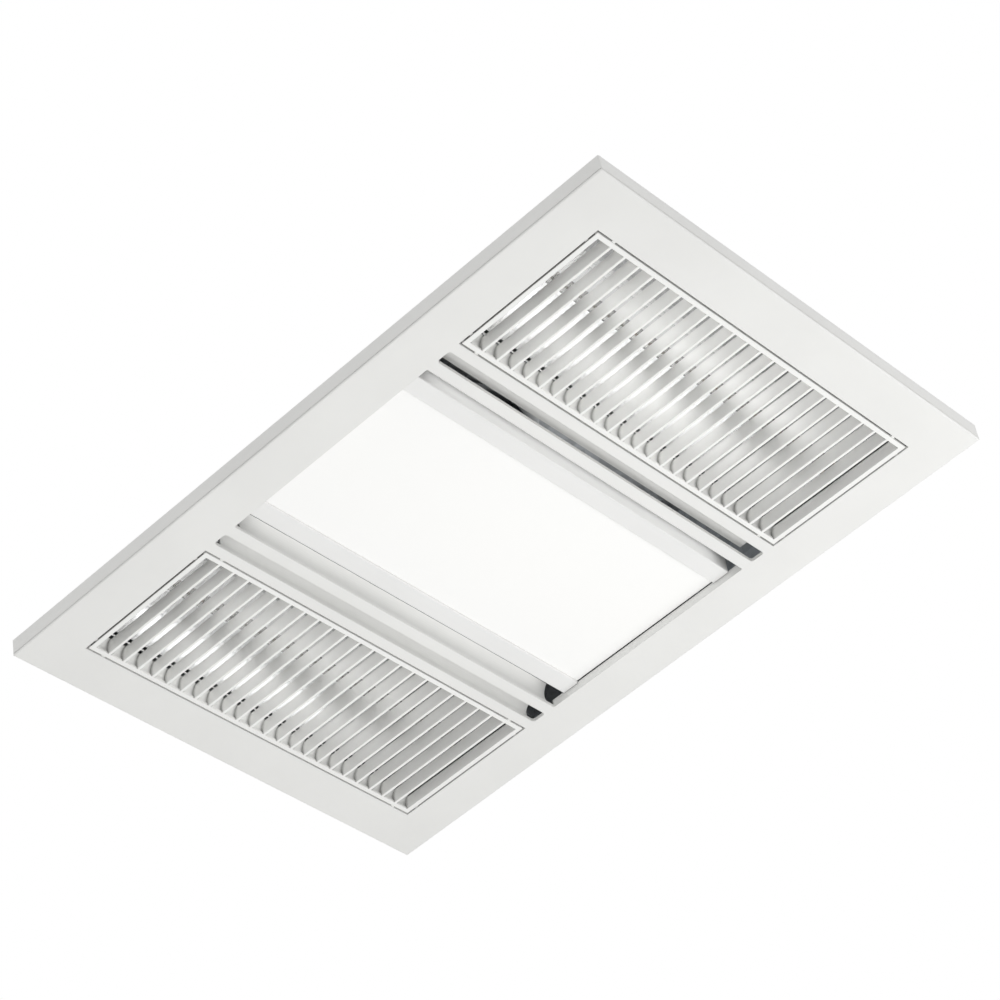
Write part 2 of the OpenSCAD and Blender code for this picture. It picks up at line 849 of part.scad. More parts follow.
// The slotted blocks on the heater boxes that the hangers slide in
module hanger_guides() {
    guide_wall = 1.6;
    inner_x = hanger_x - hanger_clear - guide_wall;
    color("dimgray")
        both_sides()
            for (s = [-1, 1])
                difference() {
                    translate([inner_x, s * hanger_y - hanger_w / 2 - 3, hanger_guide_z])
                        cube([heater_out_x - sheet - inner_x, hanger_w + 6, hanger_guide_h]);
                    translate([hanger_x - hanger_clear, s * hanger_y - hanger_w / 2 - hanger_clear,
                        hanger_guide_z - cut])
                        cube([hanger_t + 2 * hanger_clear, hanger_w + 2 * hanger_clear,
                            hanger_guide_h + 2 * cut]);
                }
}

// Places of the rivets along an end of the housing
rivet_places = [for (s = [-1, 1], k = [-1, 1]) s * heater_box_x + k * rivet_x];

// Holes for the rivets, through both ends
module rivet_holes() {
    for (x = rivet_places)
        translate([x, 0, rivet_z])
            rotate([90, 0, 0])
                cylinder(r = rivet_r + hole_clear, h = 2 * frame_y, center = true);
}

module mounting_frame() {
    color("silver")
        difference() {
            union() {
                block(2 * frame_x, 2 * frame_y, frame_t, -frame_t);
                block(2 * (frame_in_x + frame_t), 2 * (frame_in_y + frame_t), upright_h + frame_t, -frame_t);
            }
            block(2 * frame_in_x, 2 * frame_in_y, upright_h + 3 * frame_t, -2 * frame_t);
            rivet_holes();
            for (sx = [-1, 1], sy = [-1, 1])
                translate([sx * (frame_x - mount_in), sy * mount_y, -2 * frame_t])
                    cylinder(r = mount_hole_r, h = 3 * frame_t);
        }
}

module frame_rivets() {
    grip = frame_t + frame_clear + sheet;
    color("gainsboro")
        both_ends()
            for (x = rivet_places)
                translate([x, frame_in_y + frame_t, rivet_z])
                    rotate([-90, 0, 0])
                        pan_screw(grip, rivet_r);
}

// A sheet box of width w about x = 0, open at the bottom
module open_box(w, h) {
    difference() {
        block(w, 2 * box_y, h - box_z, box_z);
        block(w - 2 * sheet, 2 * (box_y - sheet), h - box_z, box_z - sheet);
    }
}

// A panel of outline w by l, raised in the top of a box of height h
module raised_panel(w, l, h, r) {
    translate([0, 0, h - sheet / 2])
        linear_extrude(bead_rise + sheet / 2)
            rounded_rect(w, l, r);
}

// The hollow under that panel
module panel_hollow(w, l, h, r) {
    translate([0, 0, h - sheet - cut])
        linear_extrude(bead_rise + cut)
            rounded_rect(w - 2 * sheet, l - 2 * sheet, r - sheet);
}

// A cooling slot with round ends
module vent_shape() {
    square([vent_w, vent_l - vent_w], center = true);
    for (s = [-1, 1])
        translate([0, s * (vent_l - vent_w) / 2])
            circle(vent_w / 2);
}

module heater_box() {
    panel_w = heater_box_w - 2 * panel_in;
    panel_y = panel_l / 2 - panel_in;
    panel_r = 8;
    color("silver")
        difference() {
            union() {
                translate([heater_box_x, 0, 0])
                    open_box(heater_box_w, heater_box_h);
                translate([heater_box_x, panel_y, 0])
                    raised_panel(panel_w, panel_l, heater_box_h, panel_r);
            }
            translate([heater_box_x, panel_y, 0])
                panel_hollow(panel_w, panel_l, heater_box_h, panel_r);
            rivet_holes();
            // Cooling slots in the outer side
            for (s = [-1, 1], i = [0 : vent_count - 1])
                translate([heater_out_x, s * box_y / 2 + (i - (vent_count - 1) / 2) * vent_pitch,
                    heater_box_h - vent_l])
                    along_x(4 * sheet)
                        vent_shape();
        }
}

module heater_box_right() heater_box();

module heater_box_left() {
    mirror([1, 0, 0])
        heater_box();
}

// Places of the beads on the fan box, beside the scroll
module bead_places() {
    for (i = [0 : 2])
        translate([-fan_box_x / 2 + bead_w / 2, bead_y + i * bead_pitch, 0])
            children();
}

module fan_box() {
    bead_r = bead_w / 2 - 0.2;
    color("silver")
        difference() {
            union() {
                open_box(2 * fan_box_x, fan_box_h);
                bead_places()
                    raised_panel(bead_l, bead_w, fan_box_h, bead_r);
            }
            bead_places()
                panel_hollow(bead_l, bead_w, fan_box_h, bead_r);
            translate([0, fan_y, fan_box_h - 2 * sheet])
                cylinder(r = plate_in_r, h = 4 * sheet);
            for (a = [45 : 90 : 315])
                translate([0, fan_y, fan_box_h - 2 * sheet])
                    rotate([0, 0, a])
                        translate([plate_screw_r, 0, 0])
                            cylinder(r = screw_r + hole_clear, h = 4 * sheet);
            translate([duct_x, box_y - 2 * sheet, duct_z])
                rotate([-90, 0, 0])
                    cylinder(r = duct_hole_r, h = 4 * sheet);
            duct_screw_places()
                translate([0, box_y - 2 * sheet, 0])
                    rotate([-90, 0, 0])
                        cylinder(r = screw_r + hole_clear, h = 4 * sheet);
        }
}

// Half outline of a reflector from its mouth to the crown, moved up by t
function reflector_points(t) =
    [for (i = [-reflector_steps : reflector_steps])
        let (x = reflector_half * i / reflector_steps)
            [x, reflector_z + reflector_rise(x) + t]];

// The slots along both sides of a reflector, one behind each blade
module side_slots() {
    for (s = [-1, 1], i = [0 : blade_count - 1])
        translate([s * reflector_half, (i - (blade_count - 1) / 2) * blade_pitch - side_slot_shift,
            reflector_z + side_slot_up])
            block(3 * side_slot_h + 2 * reflector_t, side_slot_l, side_slot_h);
}

module reflector() {
    color("gainsboro")
        translate([grille_x, 0, 0]) {
            difference() {
                along_y(reflector_l)
                    polygon(concat(reflector_points(0), turned(reflector_points(reflector_t))));
                side_slots();
            }
            // The end plates, notched for the tube
            both_ends()
                translate([0, reflector_l / 2 - reflector_t / 2, 0])
                    along_y(reflector_t)
                        difference() {
                            polygon(reflector_points(reflector_t / 2));
                            translate([0, tube_z])
                                circle(tube_r + notch_gap);
                            translate([-tube_r - notch_gap, 0])
                                square([2 * (tube_r + notch_gap), tube_z]);
                        }
        }
}

module reflector_right() reflector();

module reflector_left() {
    mirror([1, 0, 0])
        reflector();
}

module reflector_stays() {
    stay_z = crown_z + reflector_t;
    color("silver")
        both_sides()
            for (s = [-1, 1])
                translate([grille_x, s * stay_y, stay_z])
                    cylinder(r = stay_r, h = heater_box_h - sheet - stay_z);
}

module heater_tube() {
    color("antiquewhite")
        translate([grille_x, 0, tube_z])
            rotate([90, 0, 0])
                difference() {
                    cylinder(r = tube_r, h = tube_l, center = true);
                    cylinder(r = tube_r - tube_wall, h = tube_l + cut, center = true);
                }
}

module heater_tube_right() heater_tube();

module heater_tube_left() {
    mirror([1, 0, 0])
        heater_tube();
}

module heater_elements() {
    color("orange")
        both_sides()
            translate([grille_x, 0, tube_z])
                rotate([90, 0, 0])
                    cylinder(r = element_r, h = tube_l, center = true);
}

module tube_caps() {
    color("ivory")
        both_sides()
            both_ends()
                difference() {
                    translate([grille_x - cap_w / 2, cap_in_y, tube_z - cap_h / 2])
                        cube([cap_w, cap_l, cap_h]);
                    translate([grille_x, cap_in_y - cut, tube_z])
                        rotate([-90, 0, 0])
                            cylinder(r = tube_r + cap_clear, h = cap_bore_l + cut);
                }
}

// The clips that hold the caps to the ends of the heater boxes
module tube_brackets() {
    clip_l = cap_l * 2 / 3;
    clip_y = bracket_y - clip_t - clip_l;
    color("silver")
        both_sides()
            both_ends() {
                difference() {
                    translate([grille_x - cap_w / 2 - clip_t, clip_y, tube_z - cap_h / 2 - clip_t])
                        cube([cap_w + 2 * clip_t, clip_l + clip_t, cap_h + clip_t]);
                    translate([grille_x - cap_w / 2, clip_y - cut, tube_z - cap_h / 2])
                        cube([cap_w, clip_l + cut, cap_h + cut]);
                }
                translate([grille_x - cap_w, bracket_y - clip_t, tube_z - cap_h / 2])
                    cube([2 * cap_w, clip_t, cap_h]);
            }
}

module thermal_cutouts() {
    cutout_z = crown_z + reflector_t;
    color("black")
        both_sides()
            translate([grille_x, cutout_y, cutout_z]) {
                cylinder(r = min(cutout_r, crown_half), h = 1.5);
                cylinder(r = min(cutout_r, crown_half) - 1, h = cutout_h);
                for (s = [-1, 1])
                    translate([s * 3 - 0.4, -2, cutout_h - cut])
                        cube([0.8, 4, 6 + cut]);
            }
}

module inlet_plate() {
    color("silver")
        difference() {
            translate([0, 0, floor_z])
                block(2 * (fan_box_x - sheet), 2 * (box_y - sheet), sheet);
            translate([0, fan_y, floor_z - cut])
                cylinder(r = throat_r + hole_clear, h = sheet + 2 * cut);
        }
}

// Points of the inlet's flare, from the throat down to its rim, moved outwards by t
function inlet_curve(t) =
    [for (i = [0 : 8])
        let (a = 180 + 90 * i / 8)
            [throat_r - inlet_t + inlet_flare + (inlet_flare - t) * cos(a),
             floor_z + (inlet_flare - t) * sin(a)]];

// The bell mouth: a quarter-round flare below the floor and a short throat above it
module inlet_ring() {
    throat_top_z = chamber_z + inlet_h;
    color("white")
        translate([0, fan_y, 0])
            rotate_extrude() {
                polygon(concat([[throat_r - inlet_t, throat_top_z]], inlet_curve(0),
                    turned(inlet_curve(inlet_t)), [[throat_r, throat_top_z]]));
                translate([throat_r, floor_z - inlet_t])
                    square([inlet_flare, inlet_t]);
            }
}

// Points along the scroll's spiral, moved outwards by t, from angle a round to the outlet
function spiral_points(a, t) =
    let (steps = 60)
    [for (i = [0 : steps])
        let (b = a + (360 - a) * i / steps)
            [(scroll_r(b) + t) * cos(b), (scroll_r(b) + t) * sin(b)]];

// The spiral wall round the wheel: its tongue is a wedge, and its sides run on to the outlet
module fan_scroll() {
    nose_a = 2;
    wall_y = box_y - sheet - fan_y;
    left_x = scroll_end_r - outlet_w;
    color("gainsboro")
        translate([0, fan_y, chamber_z])
            linear_extrude(chamber_top_z - chamber_z)
                polygon(concat(
                    [[scroll_end_r, wall_y]],
                    turned(spiral_points(tongue_a, 0)),
                    [[left_x, wall_y], [left_x - scroll_t, wall_y]],
                    spiral_points(tongue_a + nose_a, scroll_t),
                    [[scroll_end_r + scroll_t, wall_y]]
                ));
}

// Outline of one forward-curved blade of the wheel
function wheel_blade_points() =
    curved_wall([blade_in_r, 0], [wheel_r * cos(8), wheel_r * sin(8)], 1.8, wheel_blade_t, 6);

module impeller_wheel() {
    color("white")
        translate([0, fan_y, 0]) {
            translate([0, 0, wheel_z])
                difference() {
                    cylinder(r = wheel_out_r, h = wheel_ring_t);
                    translate([0, 0, -cut])
                        cylinder(r = blade_in_r - wheel_rim, h = wheel_ring_t + 2 * cut);
                }
            for (i = [0 : wheel_blades - 1])
                rotate([0, 0, 360 * i / wheel_blades])
                    translate([0, 0, wheel_z + wheel_ring_t / 2])
                        linear_extrude(wheel_h - wheel_ring_t)
                            polygon(wheel_blade_points());
            difference() {
                union() {
                    translate([0, 0, wheel_top_z - wheel_ring_t])
                        cylinder(r = wheel_out_r, h = wheel_ring_t);
                    translate([0, 0, hub_z])
                        cylinder(r = hub_r, h = hub_h);
                }
                translate([0, 0, hub_z - cut])
                    cylinder(r = shaft_r, h = hub_h + 2 * cut);
            }
        }
}

module motor_shaft() {
    color("silver")
        translate([0, fan_y, shaft_z])
            cylinder(r = shaft_r, h = shaft_top_z - shaft_z);
}

module wheel_nut() {
    color("goldenrod")
        translate([0, fan_y, nut_z])
            difference() {
                cylinder(r = nut_r, h = nut_h, $fn = 6);
                translate([0, 0, -cut])
                    cylinder(r = shaft_r, h = nut_h + 2 * cut);
            }
}

module motor_body() {
    fin_count = 12;
    color("dimgray")
        translate([0, fan_y, 0])
            difference() {
                union() {
                    translate([0, 0, motor_z])
                        cylinder(r = motor_r, h = motor_top_z - motor_edge_r - motor_z);
                    translate([0, 0, motor_flange_z])
                        cylinder(r = motor_r + motor_flange, h = motor_flange);
                    translate([0, 0, motor_top_z - motor_edge_r])
                        rotate_extrude() {
                            square([motor_r - motor_edge_r, motor_edge_r]);
                            intersection() {
                                translate([motor_r - motor_edge_r, 0])
                                    circle(motor_edge_r);
                                square([motor_r, motor_edge_r]);
                            }
                        }
                }
                // Bore for the shaft, with a seat for the bearing
                translate([0, 0, motor_z - cut])
                    cylinder(r = shaft_r + 2 * shaft_clear, h = shaft_top_z + cut - motor_z + 1);
                translate([0, 0, motor_z - cut])
                    cylinder(r = bearing_r, h = bearing_h + cut);
                // Cooling slots in the top
                for (i = [0 : fin_count - 1])
                    rotate([0, 0, 360 * i / fin_count])
                        translate([motor_r * 0.35, -1.25, motor_top_z - 2])
                            cube([motor_r * 0.4, 2.5, 2 + cut]);
            }
}

module motor_bearing() {
    color("silver")
        translate([0, fan_y, motor_z])
            difference() {
                cylinder(r = bearing_r, h = bearing_h);
                translate([0, 0, -cut])
                    cylinder(r = shaft_r + shaft_clear, h = bearing_h + 2 * cut);
            }
}

module motor_plate() {
    color("silver")
        translate([0, fan_y, fan_box_h])
            difference() {
                cylinder(r = plate_out_r, h = motor_plate_t);
                translate([0, 0, -cut])
                    cylinder(r = plate_in_r, h = motor_plate_t + 2 * cut);
                for (a = [45 : 90 : 315])
                    rotate([0, 0, a])
                        translate([plate_screw_r, 0, -cut])
                            cylinder(r = screw_r + hole_clear, h = motor_plate_t + 2 * cut);
            }
}

module motor_screws() {
    color("gray")
        translate([0, fan_y, motor_flange_z])
            for (a = [45 : 90 : 315])
                rotate([0, 0, a])
                    translate([plate_screw_r, 0, 0])
                        pan_screw(motor_plate_t + 2 * sheet);
}

// The capacitor lies on the left heater box
module capacitor() {
    tag_l = 8;
    tag_r = 2;
    color("whitesmoke")
        translate([-grille_x, -term_y, heater_box_h + cap_can_r])
            rotate([90, 0, 0]) {
                cylinder(r = cap_can_r, h = cap_can_l, center = true);
                for (s = [-1, 1])
                    translate([s * cap_can_r / 3, 0, cap_can_l / 2])
                        cylinder(r = tag_r, h = tag_l);
            }
}

module capacitor_clip() {
    clip_wall = 1;
    foot_w = 12;
    color("silver")
        translate([-grille_x, -term_y, heater_box_h]) {
            along_y(cap_clip_w)
                difference() {
                    union() {
                        translate([0, cap_can_r])
                            circle(cap_can_r + clip_wall);
                        translate([-cap_can_r - clip_wall, 0])
                            square([2 * (cap_can_r + clip_wall), cap_can_r]);
                        translate([-cap_can_r - foot_w, 0])
                            square([2 * (cap_can_r + foot_w), clip_wall]);
                    }
                    translate([0, cap_can_r])
                        circle(cap_can_r);
                    translate([-cap_can_r, -cut])
                        square([2 * cap_can_r, cap_can_r + cut]);
                }
        }
}

// Places of the outlet's four screws, on the plane of the box's end
module duct_screw_places() {
    for (sx = [-1, 1], sz = [-1, 1])
        translate([duct_x + sx * duct_screw_x, 0, duct_z + sz * duct_screw_z])
            children();
}

// A rounded plate against the box's end, holed for the air and the screws
module duct_plate(t, y, hole_r) {
    difference() {
        translate([duct_x, y + t / 2, duct_z])
            along_y(t)
                rounded_rect(duct_flange_w, duct_flange_h, 5);
        translate([duct_x, y - cut, duct_z])
            rotate([-90, 0, 0])
                cylinder(r = hole_r, h = t + 2 * cut);
        duct_screw_places()
            translate([0, y - cut, 0])
                rotate([-90, 0, 0])
                    cylinder(r = screw_r + hole_clear, h = t + 2 * cut);
    }
}

module duct_gasket() {
    color("darkgray")
        duct_plate(gasket_t, box_y, duct_hole_r);
}

module duct_spigot() {
    color("white")
        difference() {
            union() {
                duct_plate(duct_flange_t, flange_y, duct_r);
                translate([duct_x, flange_y, duct_z])
                    rotate([-90, 0, 0])
                        difference() {
                            cylinder(r = duct_r + duct_wall, h = duct_l + duct_flange_t);
                            translate([0, 0, -cut])
                                cylinder(r = duct_r, h = duct_l + duct_flange_t + 2 * cut);
                        }
                // The seat for the flap
                translate([duct_x, seat_y, duct_z])
                    rotate([-90, 0, 0])
                        difference() {
                            cylinder(r = duct_r + duct_wall / 2, h = seat_t);
                            translate([0, 0, -cut])
                                cylinder(r = duct_r - seat_w, h = seat_t + 2 * cut);
                        }
            }
            translate([duct_x, pin_y, duct_z + pin_up])
                rotate([0, 90, 0])
                    cylinder(r = pin_r + hole_clear, h = 2 * duct_r + 4 * duct_wall, center = true);
        }
}

module duct_screws() {
    color("gray")
        duct_screw_places()
            translate([0, flange_y + duct_flange_t, 0])
                rotate([-90, 0, 0])
                    pan_screw(duct_flange_t + gasket_t + 2 * sheet);
}

// The flap: a disc with a rim towards its seat, hung from a sleeve
module damper_flap() {
    neck_w = sleeve_l * 0.8;
    neck_z = flap_r * 0.8;
    weight_h = 4.5;
    weight_t = 2.4;
    color("whitesmoke")
        difference() {
            union() {
                translate([duct_x, disc_y, duct_z])
                    rotate([-90, 0, 0])
                        cylinder(r = flap_r, h = flap_t);
                translate([duct_x, flap_y, duct_z])
                    rotate([-90, 0, 0])
                        difference() {
                            cylinder(r = flap_r, h = disc_y - flap_y + flap_t / 2);
                            translate([0, 0, -cut])
                                cylinder(r = flap_r - flap_rim, h = disc_y - flap_y + cut);
                        }
                translate([duct_x - neck_w / 2, disc_y, duct_z + neck_z])
                    cube([neck_w, flap_t, pin_up - neck_z]);
                translate([duct_x, pin_y, duct_z + pin_up])
                    rotate([0, 90, 0])
                        cylinder(r = sleeve_r, h = sleeve_l, center = true);
                // The weight along the flap's lower edge
                translate([duct_x - neck_w / 2, disc_y + flap_t / 2, duct_z - neck_z])
                    cube([neck_w, flap_t / 2 + weight_t, weight_h]);
            }
            translate([duct_x, pin_y, duct_z + pin_up])
                rotate([0, 90, 0])
                    cylinder(r = pin_r + pin_clear, h = sleeve_l + 2 * cut, center = true);
        }
}

module damper_pin() {
    color("silver")
        translate([duct_x, pin_y, duct_z + pin_up])
            rotate([0, 90, 0])
                cylinder(r = pin_r, h = pin_l, center = true);
}

// A hollow side rail of the light with a groove for the diffuser
module light_rail() {
    groove_z = diffuser_sink - diffuser_clear;
    groove_h = diffuser_t + 2 * diffuser_clear;
    groove_w = diffuser_tuck + diffuser_clear;
    core_z = groove_z + groove_h + rail_t;
    color("whitesmoke")
        translate([diffuser_x + rail_w / 2, 0, light_z])
            along_y(light_l)
                difference() {
                    lower_rounded(rail_w, rail_h, rail_r);
                    translate([-rail_w / 2 - cut, groove_z])
                        square([groove_w + cut, groove_h]);
                    translate([-rail_w / 2 + rail_t, core_z])
                        square([rail_w - 2 * rail_t, rail_h - rail_t - core_z]);
                }
}

module light_rail_right() light_rail();

module light_rail_left() {
    mirror([1, 0, 0])
        light_rail();
}

module light_diffuser() {
    color("white")
        block(2 * (diffuser_x + diffuser_tuck), light_l, diffuser_t, diffuser_z);
}

// The metal tray that closes the light from above, with its ends turned down
module light_tray() {
    end_h = rail_top_z - diffuser_z - diffuser_t;
    color("silver") {
        block(2 * light_x, light_l, tray_t, rail_top_z);
        both_ends()
            translate([0, light_l / 2 - tray_t / 2, 0])
                block(2 * diffuser_x, tray_t, end_h + tray_t / 2, diffuser_z + diffuser_t);
    }
}

module led_strips() {
    board_t = 1.2;
    chip_h = 0.8;
    board_in = 7;
    board_l = light_l - 2 * board_in;
    spacing = 2 * diffuser_x / led_strip_count;
    color("lightyellow")
        for (i = [0 : led_strip_count - 1])
            translate([(i - (led_strip_count - 1) / 2) * spacing, 0, 0]) {
                block(led_strip_w, board_l, board_t, rail_top_z - board_t);
                for (k = [0 : led_count - 1])
                    translate([0, (k - (led_count - 1) / 2) * board_l / led_count, 0])
                        block(3, 3, chip_h + board_t / 2, rail_top_z - board_t - chip_h);
            }
}

module light_driver() {
    foot_l = 8;
    foot_in = 5;
    foot_t = 2;
    color("whitesmoke") {
        block(driver_w, driver_l, driver_h, tray_top_z);
        block(driver_w - 2 * foot_in, driver_l + 2 * foot_l, foot_t, tray_top_z);
    }
}

// The two straps across the fan box that carry the light
module light_straps() {
    inner_x = fan_box_x - sheet;
    color("silver")
        for (s = [-1, 1])
            translate([0, s * strap_y, 0]) {
                block(2 * inner_x, strap_w, strap_t, strap_z);
                both_sides()
                    translate([inner_x - strap_t / 2, 0, 0])
                        block(strap_t, strap_w, strap_tab_h, strap_z);
            }
}

module light_posts() {
    color("silver")
        for (sx = [-1, 1], sy = [-1, 1])
            translate([sx * post_x, sy * strap_y, tray_top_z])
                cylinder(r = post_r, h = post_h);
}

// Places of the lid's two posts in the wiring box
module lid_post_places() {
    for (s = [-1, 1])
        translate([grille_x + s * (term_w / 2 - term_wall - 5), -term_y + s * (term_l / 2 - term_wall - 5), 0])
            children();
}

module terminal_base() {
    color("whitesmoke")
        difference() {
            union() {
                difference() {
                    translate([grille_x, -term_y, 0])
                        block(term_w, term_l, term_h, heater_box_h);
                    translate([grille_x, -term_y, 0])
                        block(term_w - 2 * term_wall, term_l - 2 * term_wall, term_h, heater_box_h + term_wall);
                }
                lid_post_places()
                    translate([0, 0, heater_box_h + term_wall / 2])
                        cylinder(r = 4.5, h = term_h - term_wall / 2);
            }
            lid_post_places()
                translate([0, 0, heater_box_h + term_h - lid_screw_l - 4])
                    cylinder(r = screw_r + hole_clear, h = lid_screw_l + 4 + cut);
            translate([grille_x, -term_y - term_l / 2 - cut, gland_z])
                rotate([-90, 0, 0])
                    cylinder(r = gland_thread_r + hole_clear, h = term_wall + 2 * cut);
        }
}

module terminal_cover() {
    skirt = 0.4;
    color("whitesmoke")
        difference() {
            union() {
                translate([grille_x, -term_y, heater_box_h + term_h])
                    linear_extrude(lid_t)
                        rounded_rect(term_w + 2 * skirt, term_l + 2 * skirt, 3);
                translate([grille_x, -term_y, heater_box_h + term_h + lid_t / 2])
                    linear_extrude(lid_t)
                        rounded_rect(term_w - 2 * lid_panel_in, term_l - 2 * lid_panel_in, 3);
            }
            lid_post_places()
                translate([0, 0, heater_box_h + term_h - cut])
                    cylinder(r = screw_r + hole_clear, h = lid_t + 2 * cut);
        }
}

module cover_screws() {
    color("gray")
        lid_post_places()
            translate([0, 0, heater_box_h + term_h + lid_t])
                pan_screw(lid_t + lid_screw_l);
}

module terminal_block() {
    ways = 6;
    way_w = 9;
    block_l = 22;
    block_h = 14;
    color("white")
        difference() {
            translate([grille_x, -term_y, 0])
                block(ways * way_w, block_l, block_h, heater_box_h + term_wall);
            for (i = [0 : ways - 1], s = [-1, 1])
                translate([grille_x + (i - (ways - 1) / 2) * way_w, -term_y + s * block_l / 4,
                    heater_box_h + term_wall + block_h - 6])
                    cylinder(r = 2.4, h = 6 + cut);
        }
}

// The gland in the end of the wiring box, where the supply cable enters
module cable_gland() {
    collar_l = 7;
    collar_r = gland_thread_r + 3;
    wall_y = -term_y - term_l / 2;
    color("dimgray")
        translate([grille_x, wall_y, gland_z])
            rotate([90, 0, 0])
                difference() {
                    union() {
                        translate([0, 0, -term_wall - 6])
                            cylinder(r = gland_thread_r, h = term_wall + 6 + cut);
                        cylinder(r = collar_r, h = collar_l, $fn = 6);
                        translate([0, 0, -term_wall - 4])
                            cylinder(r = collar_r, h = 4, $fn = 6);
                    }
                    translate([0, 0, -term_wall - 6 - cut])
                        cylinder(r = gland_r, h = collar_l + term_wall + 6 + 2 * cut);
                }
}

fascia_panel();
louvre_left();
louvre_right();
air_guide_left();
air_guide_right();
fascia_hangers();
mounting_frame();
frame_rivets();
fan_box();
heater_box_left();
heater_box_right();
hanger_guides();
reflector_left();
reflector_right();
reflector_stays();
heater_tube_left();
heater_tube_right();
heater_elements();
tube_caps();
tube_brackets();
thermal_cutouts();
inlet_plate();
inlet_ring();
fan_scroll();
impeller_wheel();
motor_shaft();
wheel_nut();
motor_body();
motor_plate();
motor_bearing();
motor_screws();
capacitor();
capacitor_clip();
duct_gasket();
duct_spigot();
duct_screws();
damper_flap();
damper_pin();
light_rail_left();
light_rail_right();
light_diffuser();
light_tray();
led_strips();
light_driver();
light_straps();
light_posts();
terminal_base();
terminal_cover();
terminal_block();
cable_gland();
cover_screws();
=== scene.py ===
import json
import math

import bpy
from mathutils import Matrix, Vector


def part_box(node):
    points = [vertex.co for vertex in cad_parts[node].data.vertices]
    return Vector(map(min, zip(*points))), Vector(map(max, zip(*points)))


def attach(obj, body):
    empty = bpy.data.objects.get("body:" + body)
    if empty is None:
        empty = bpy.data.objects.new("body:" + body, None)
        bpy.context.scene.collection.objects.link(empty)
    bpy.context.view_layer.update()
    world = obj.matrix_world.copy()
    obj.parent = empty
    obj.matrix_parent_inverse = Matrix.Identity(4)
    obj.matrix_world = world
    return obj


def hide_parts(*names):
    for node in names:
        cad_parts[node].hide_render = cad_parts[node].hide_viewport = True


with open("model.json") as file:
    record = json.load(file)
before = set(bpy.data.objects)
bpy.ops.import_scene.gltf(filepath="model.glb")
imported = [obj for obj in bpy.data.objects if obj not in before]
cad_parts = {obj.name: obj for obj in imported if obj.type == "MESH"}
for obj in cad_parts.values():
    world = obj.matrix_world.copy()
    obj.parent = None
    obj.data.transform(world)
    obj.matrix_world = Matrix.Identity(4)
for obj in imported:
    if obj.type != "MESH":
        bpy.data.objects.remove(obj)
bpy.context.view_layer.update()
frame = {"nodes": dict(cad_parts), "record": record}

print("frame loaded with", len(frame["nodes"]), "nodes")


def paint(red, green, blue):
    # A colour as it looks on screen, 0 to 255, turned into the linear values that Blender works in
    def linear(part):
        part = part / 255
        return part / 12.92 if part <= 0.04045 else ((part + 0.055) / 1.055) ** 2.4
    return (linear(red), linear(green), linear(blue), 1.0)


# Camera, below the ceiling and looking up at the fascia
shot = {
    "lookAt": (0.03802, -0.03292, -0.0145),
    "azimuth": 36.821,
    "elevation": -43.009,
    "roll": -10.916,
    "distance": 2.3243,
    "lens": 117.96,
    "sensor": 36.0,
    "nearest": 0.01,
    "farthest": 60.0,
}


def placeCamera(shot):
    around = math.radians(shot["azimuth"])
    up = math.radians(shot["elevation"])
    away = Vector((math.sin(around) * math.cos(up), -math.cos(around) * math.cos(up), math.sin(up)))
    camera = bpy.data.objects.new("camera", bpy.data.cameras.new("camera"))
    bpy.context.scene.collection.objects.link(camera)
    ahead = (-away).to_track_quat("-Z", "Y").to_matrix()
    turned = ahead @ Matrix.Rotation(math.radians(shot["roll"]), 3, "Z")
    place = Vector(shot["lookAt"]) + away * shot["distance"]
    camera.matrix_world = Matrix.Translation(place) @ turned.to_4x4()
    camera.data.lens = shot["lens"]
    camera.data.sensor_width = shot["sensor"]
    camera.data.clip_start = shot["nearest"]
    camera.data.clip_end = shot["farthest"]
    bpy.context.scene.camera = camera


placeCamera(shot)
print("camera placed")


class Wire:
    # The output of a shader node. Sums, products and comparisons of wires add Math nodes.
    def __init__(self, finish, socket):
        self.finish = finish
        self.socket = socket

    def math(self, operation, first, second=0.0):
        return self.finish.node("ShaderNodeMath", {"operation": operation}, {0: first, 1: second})

    def __add__(self, other):
        return self.math("ADD", self, other)

    def __radd__(self, other):
        return self.math("ADD", other, self)

    def __sub__(self, other):
        return self.math("SUBTRACT", self, other)

    def __rsub__(self, other):
        return self.math("SUBTRACT", other, self)

    def __mul__(self, other):
        return self.math("MULTIPLY", self, other)

    def __rmul__(self, other):
        return self.math("MULTIPLY", other, self)

    def __truediv__(self, other):
        return self.math("DIVIDE", self, other)

    def __pow__(self, other):
        return self.math("POWER", self, other)

    def __abs__(self):
        return self.math("ABSOLUTE", self)

    def __lt__(self, other):
        return self.math("LESS_THAN", self, other)

    def __gt__(self, other):
        return self.math("GREATER_THAN", self, other)

    def wave(self):
        return self.math("SINE", self)

    def between(self, low, high):
        # 0 up to low, 1 from high on, and a smooth step between them
        values = {"Value": self, "From Min": low, "From Max": high}
        return self.finish.node("ShaderNodeMapRange", {"interpolation_type": "SMOOTHSTEP"}, values)


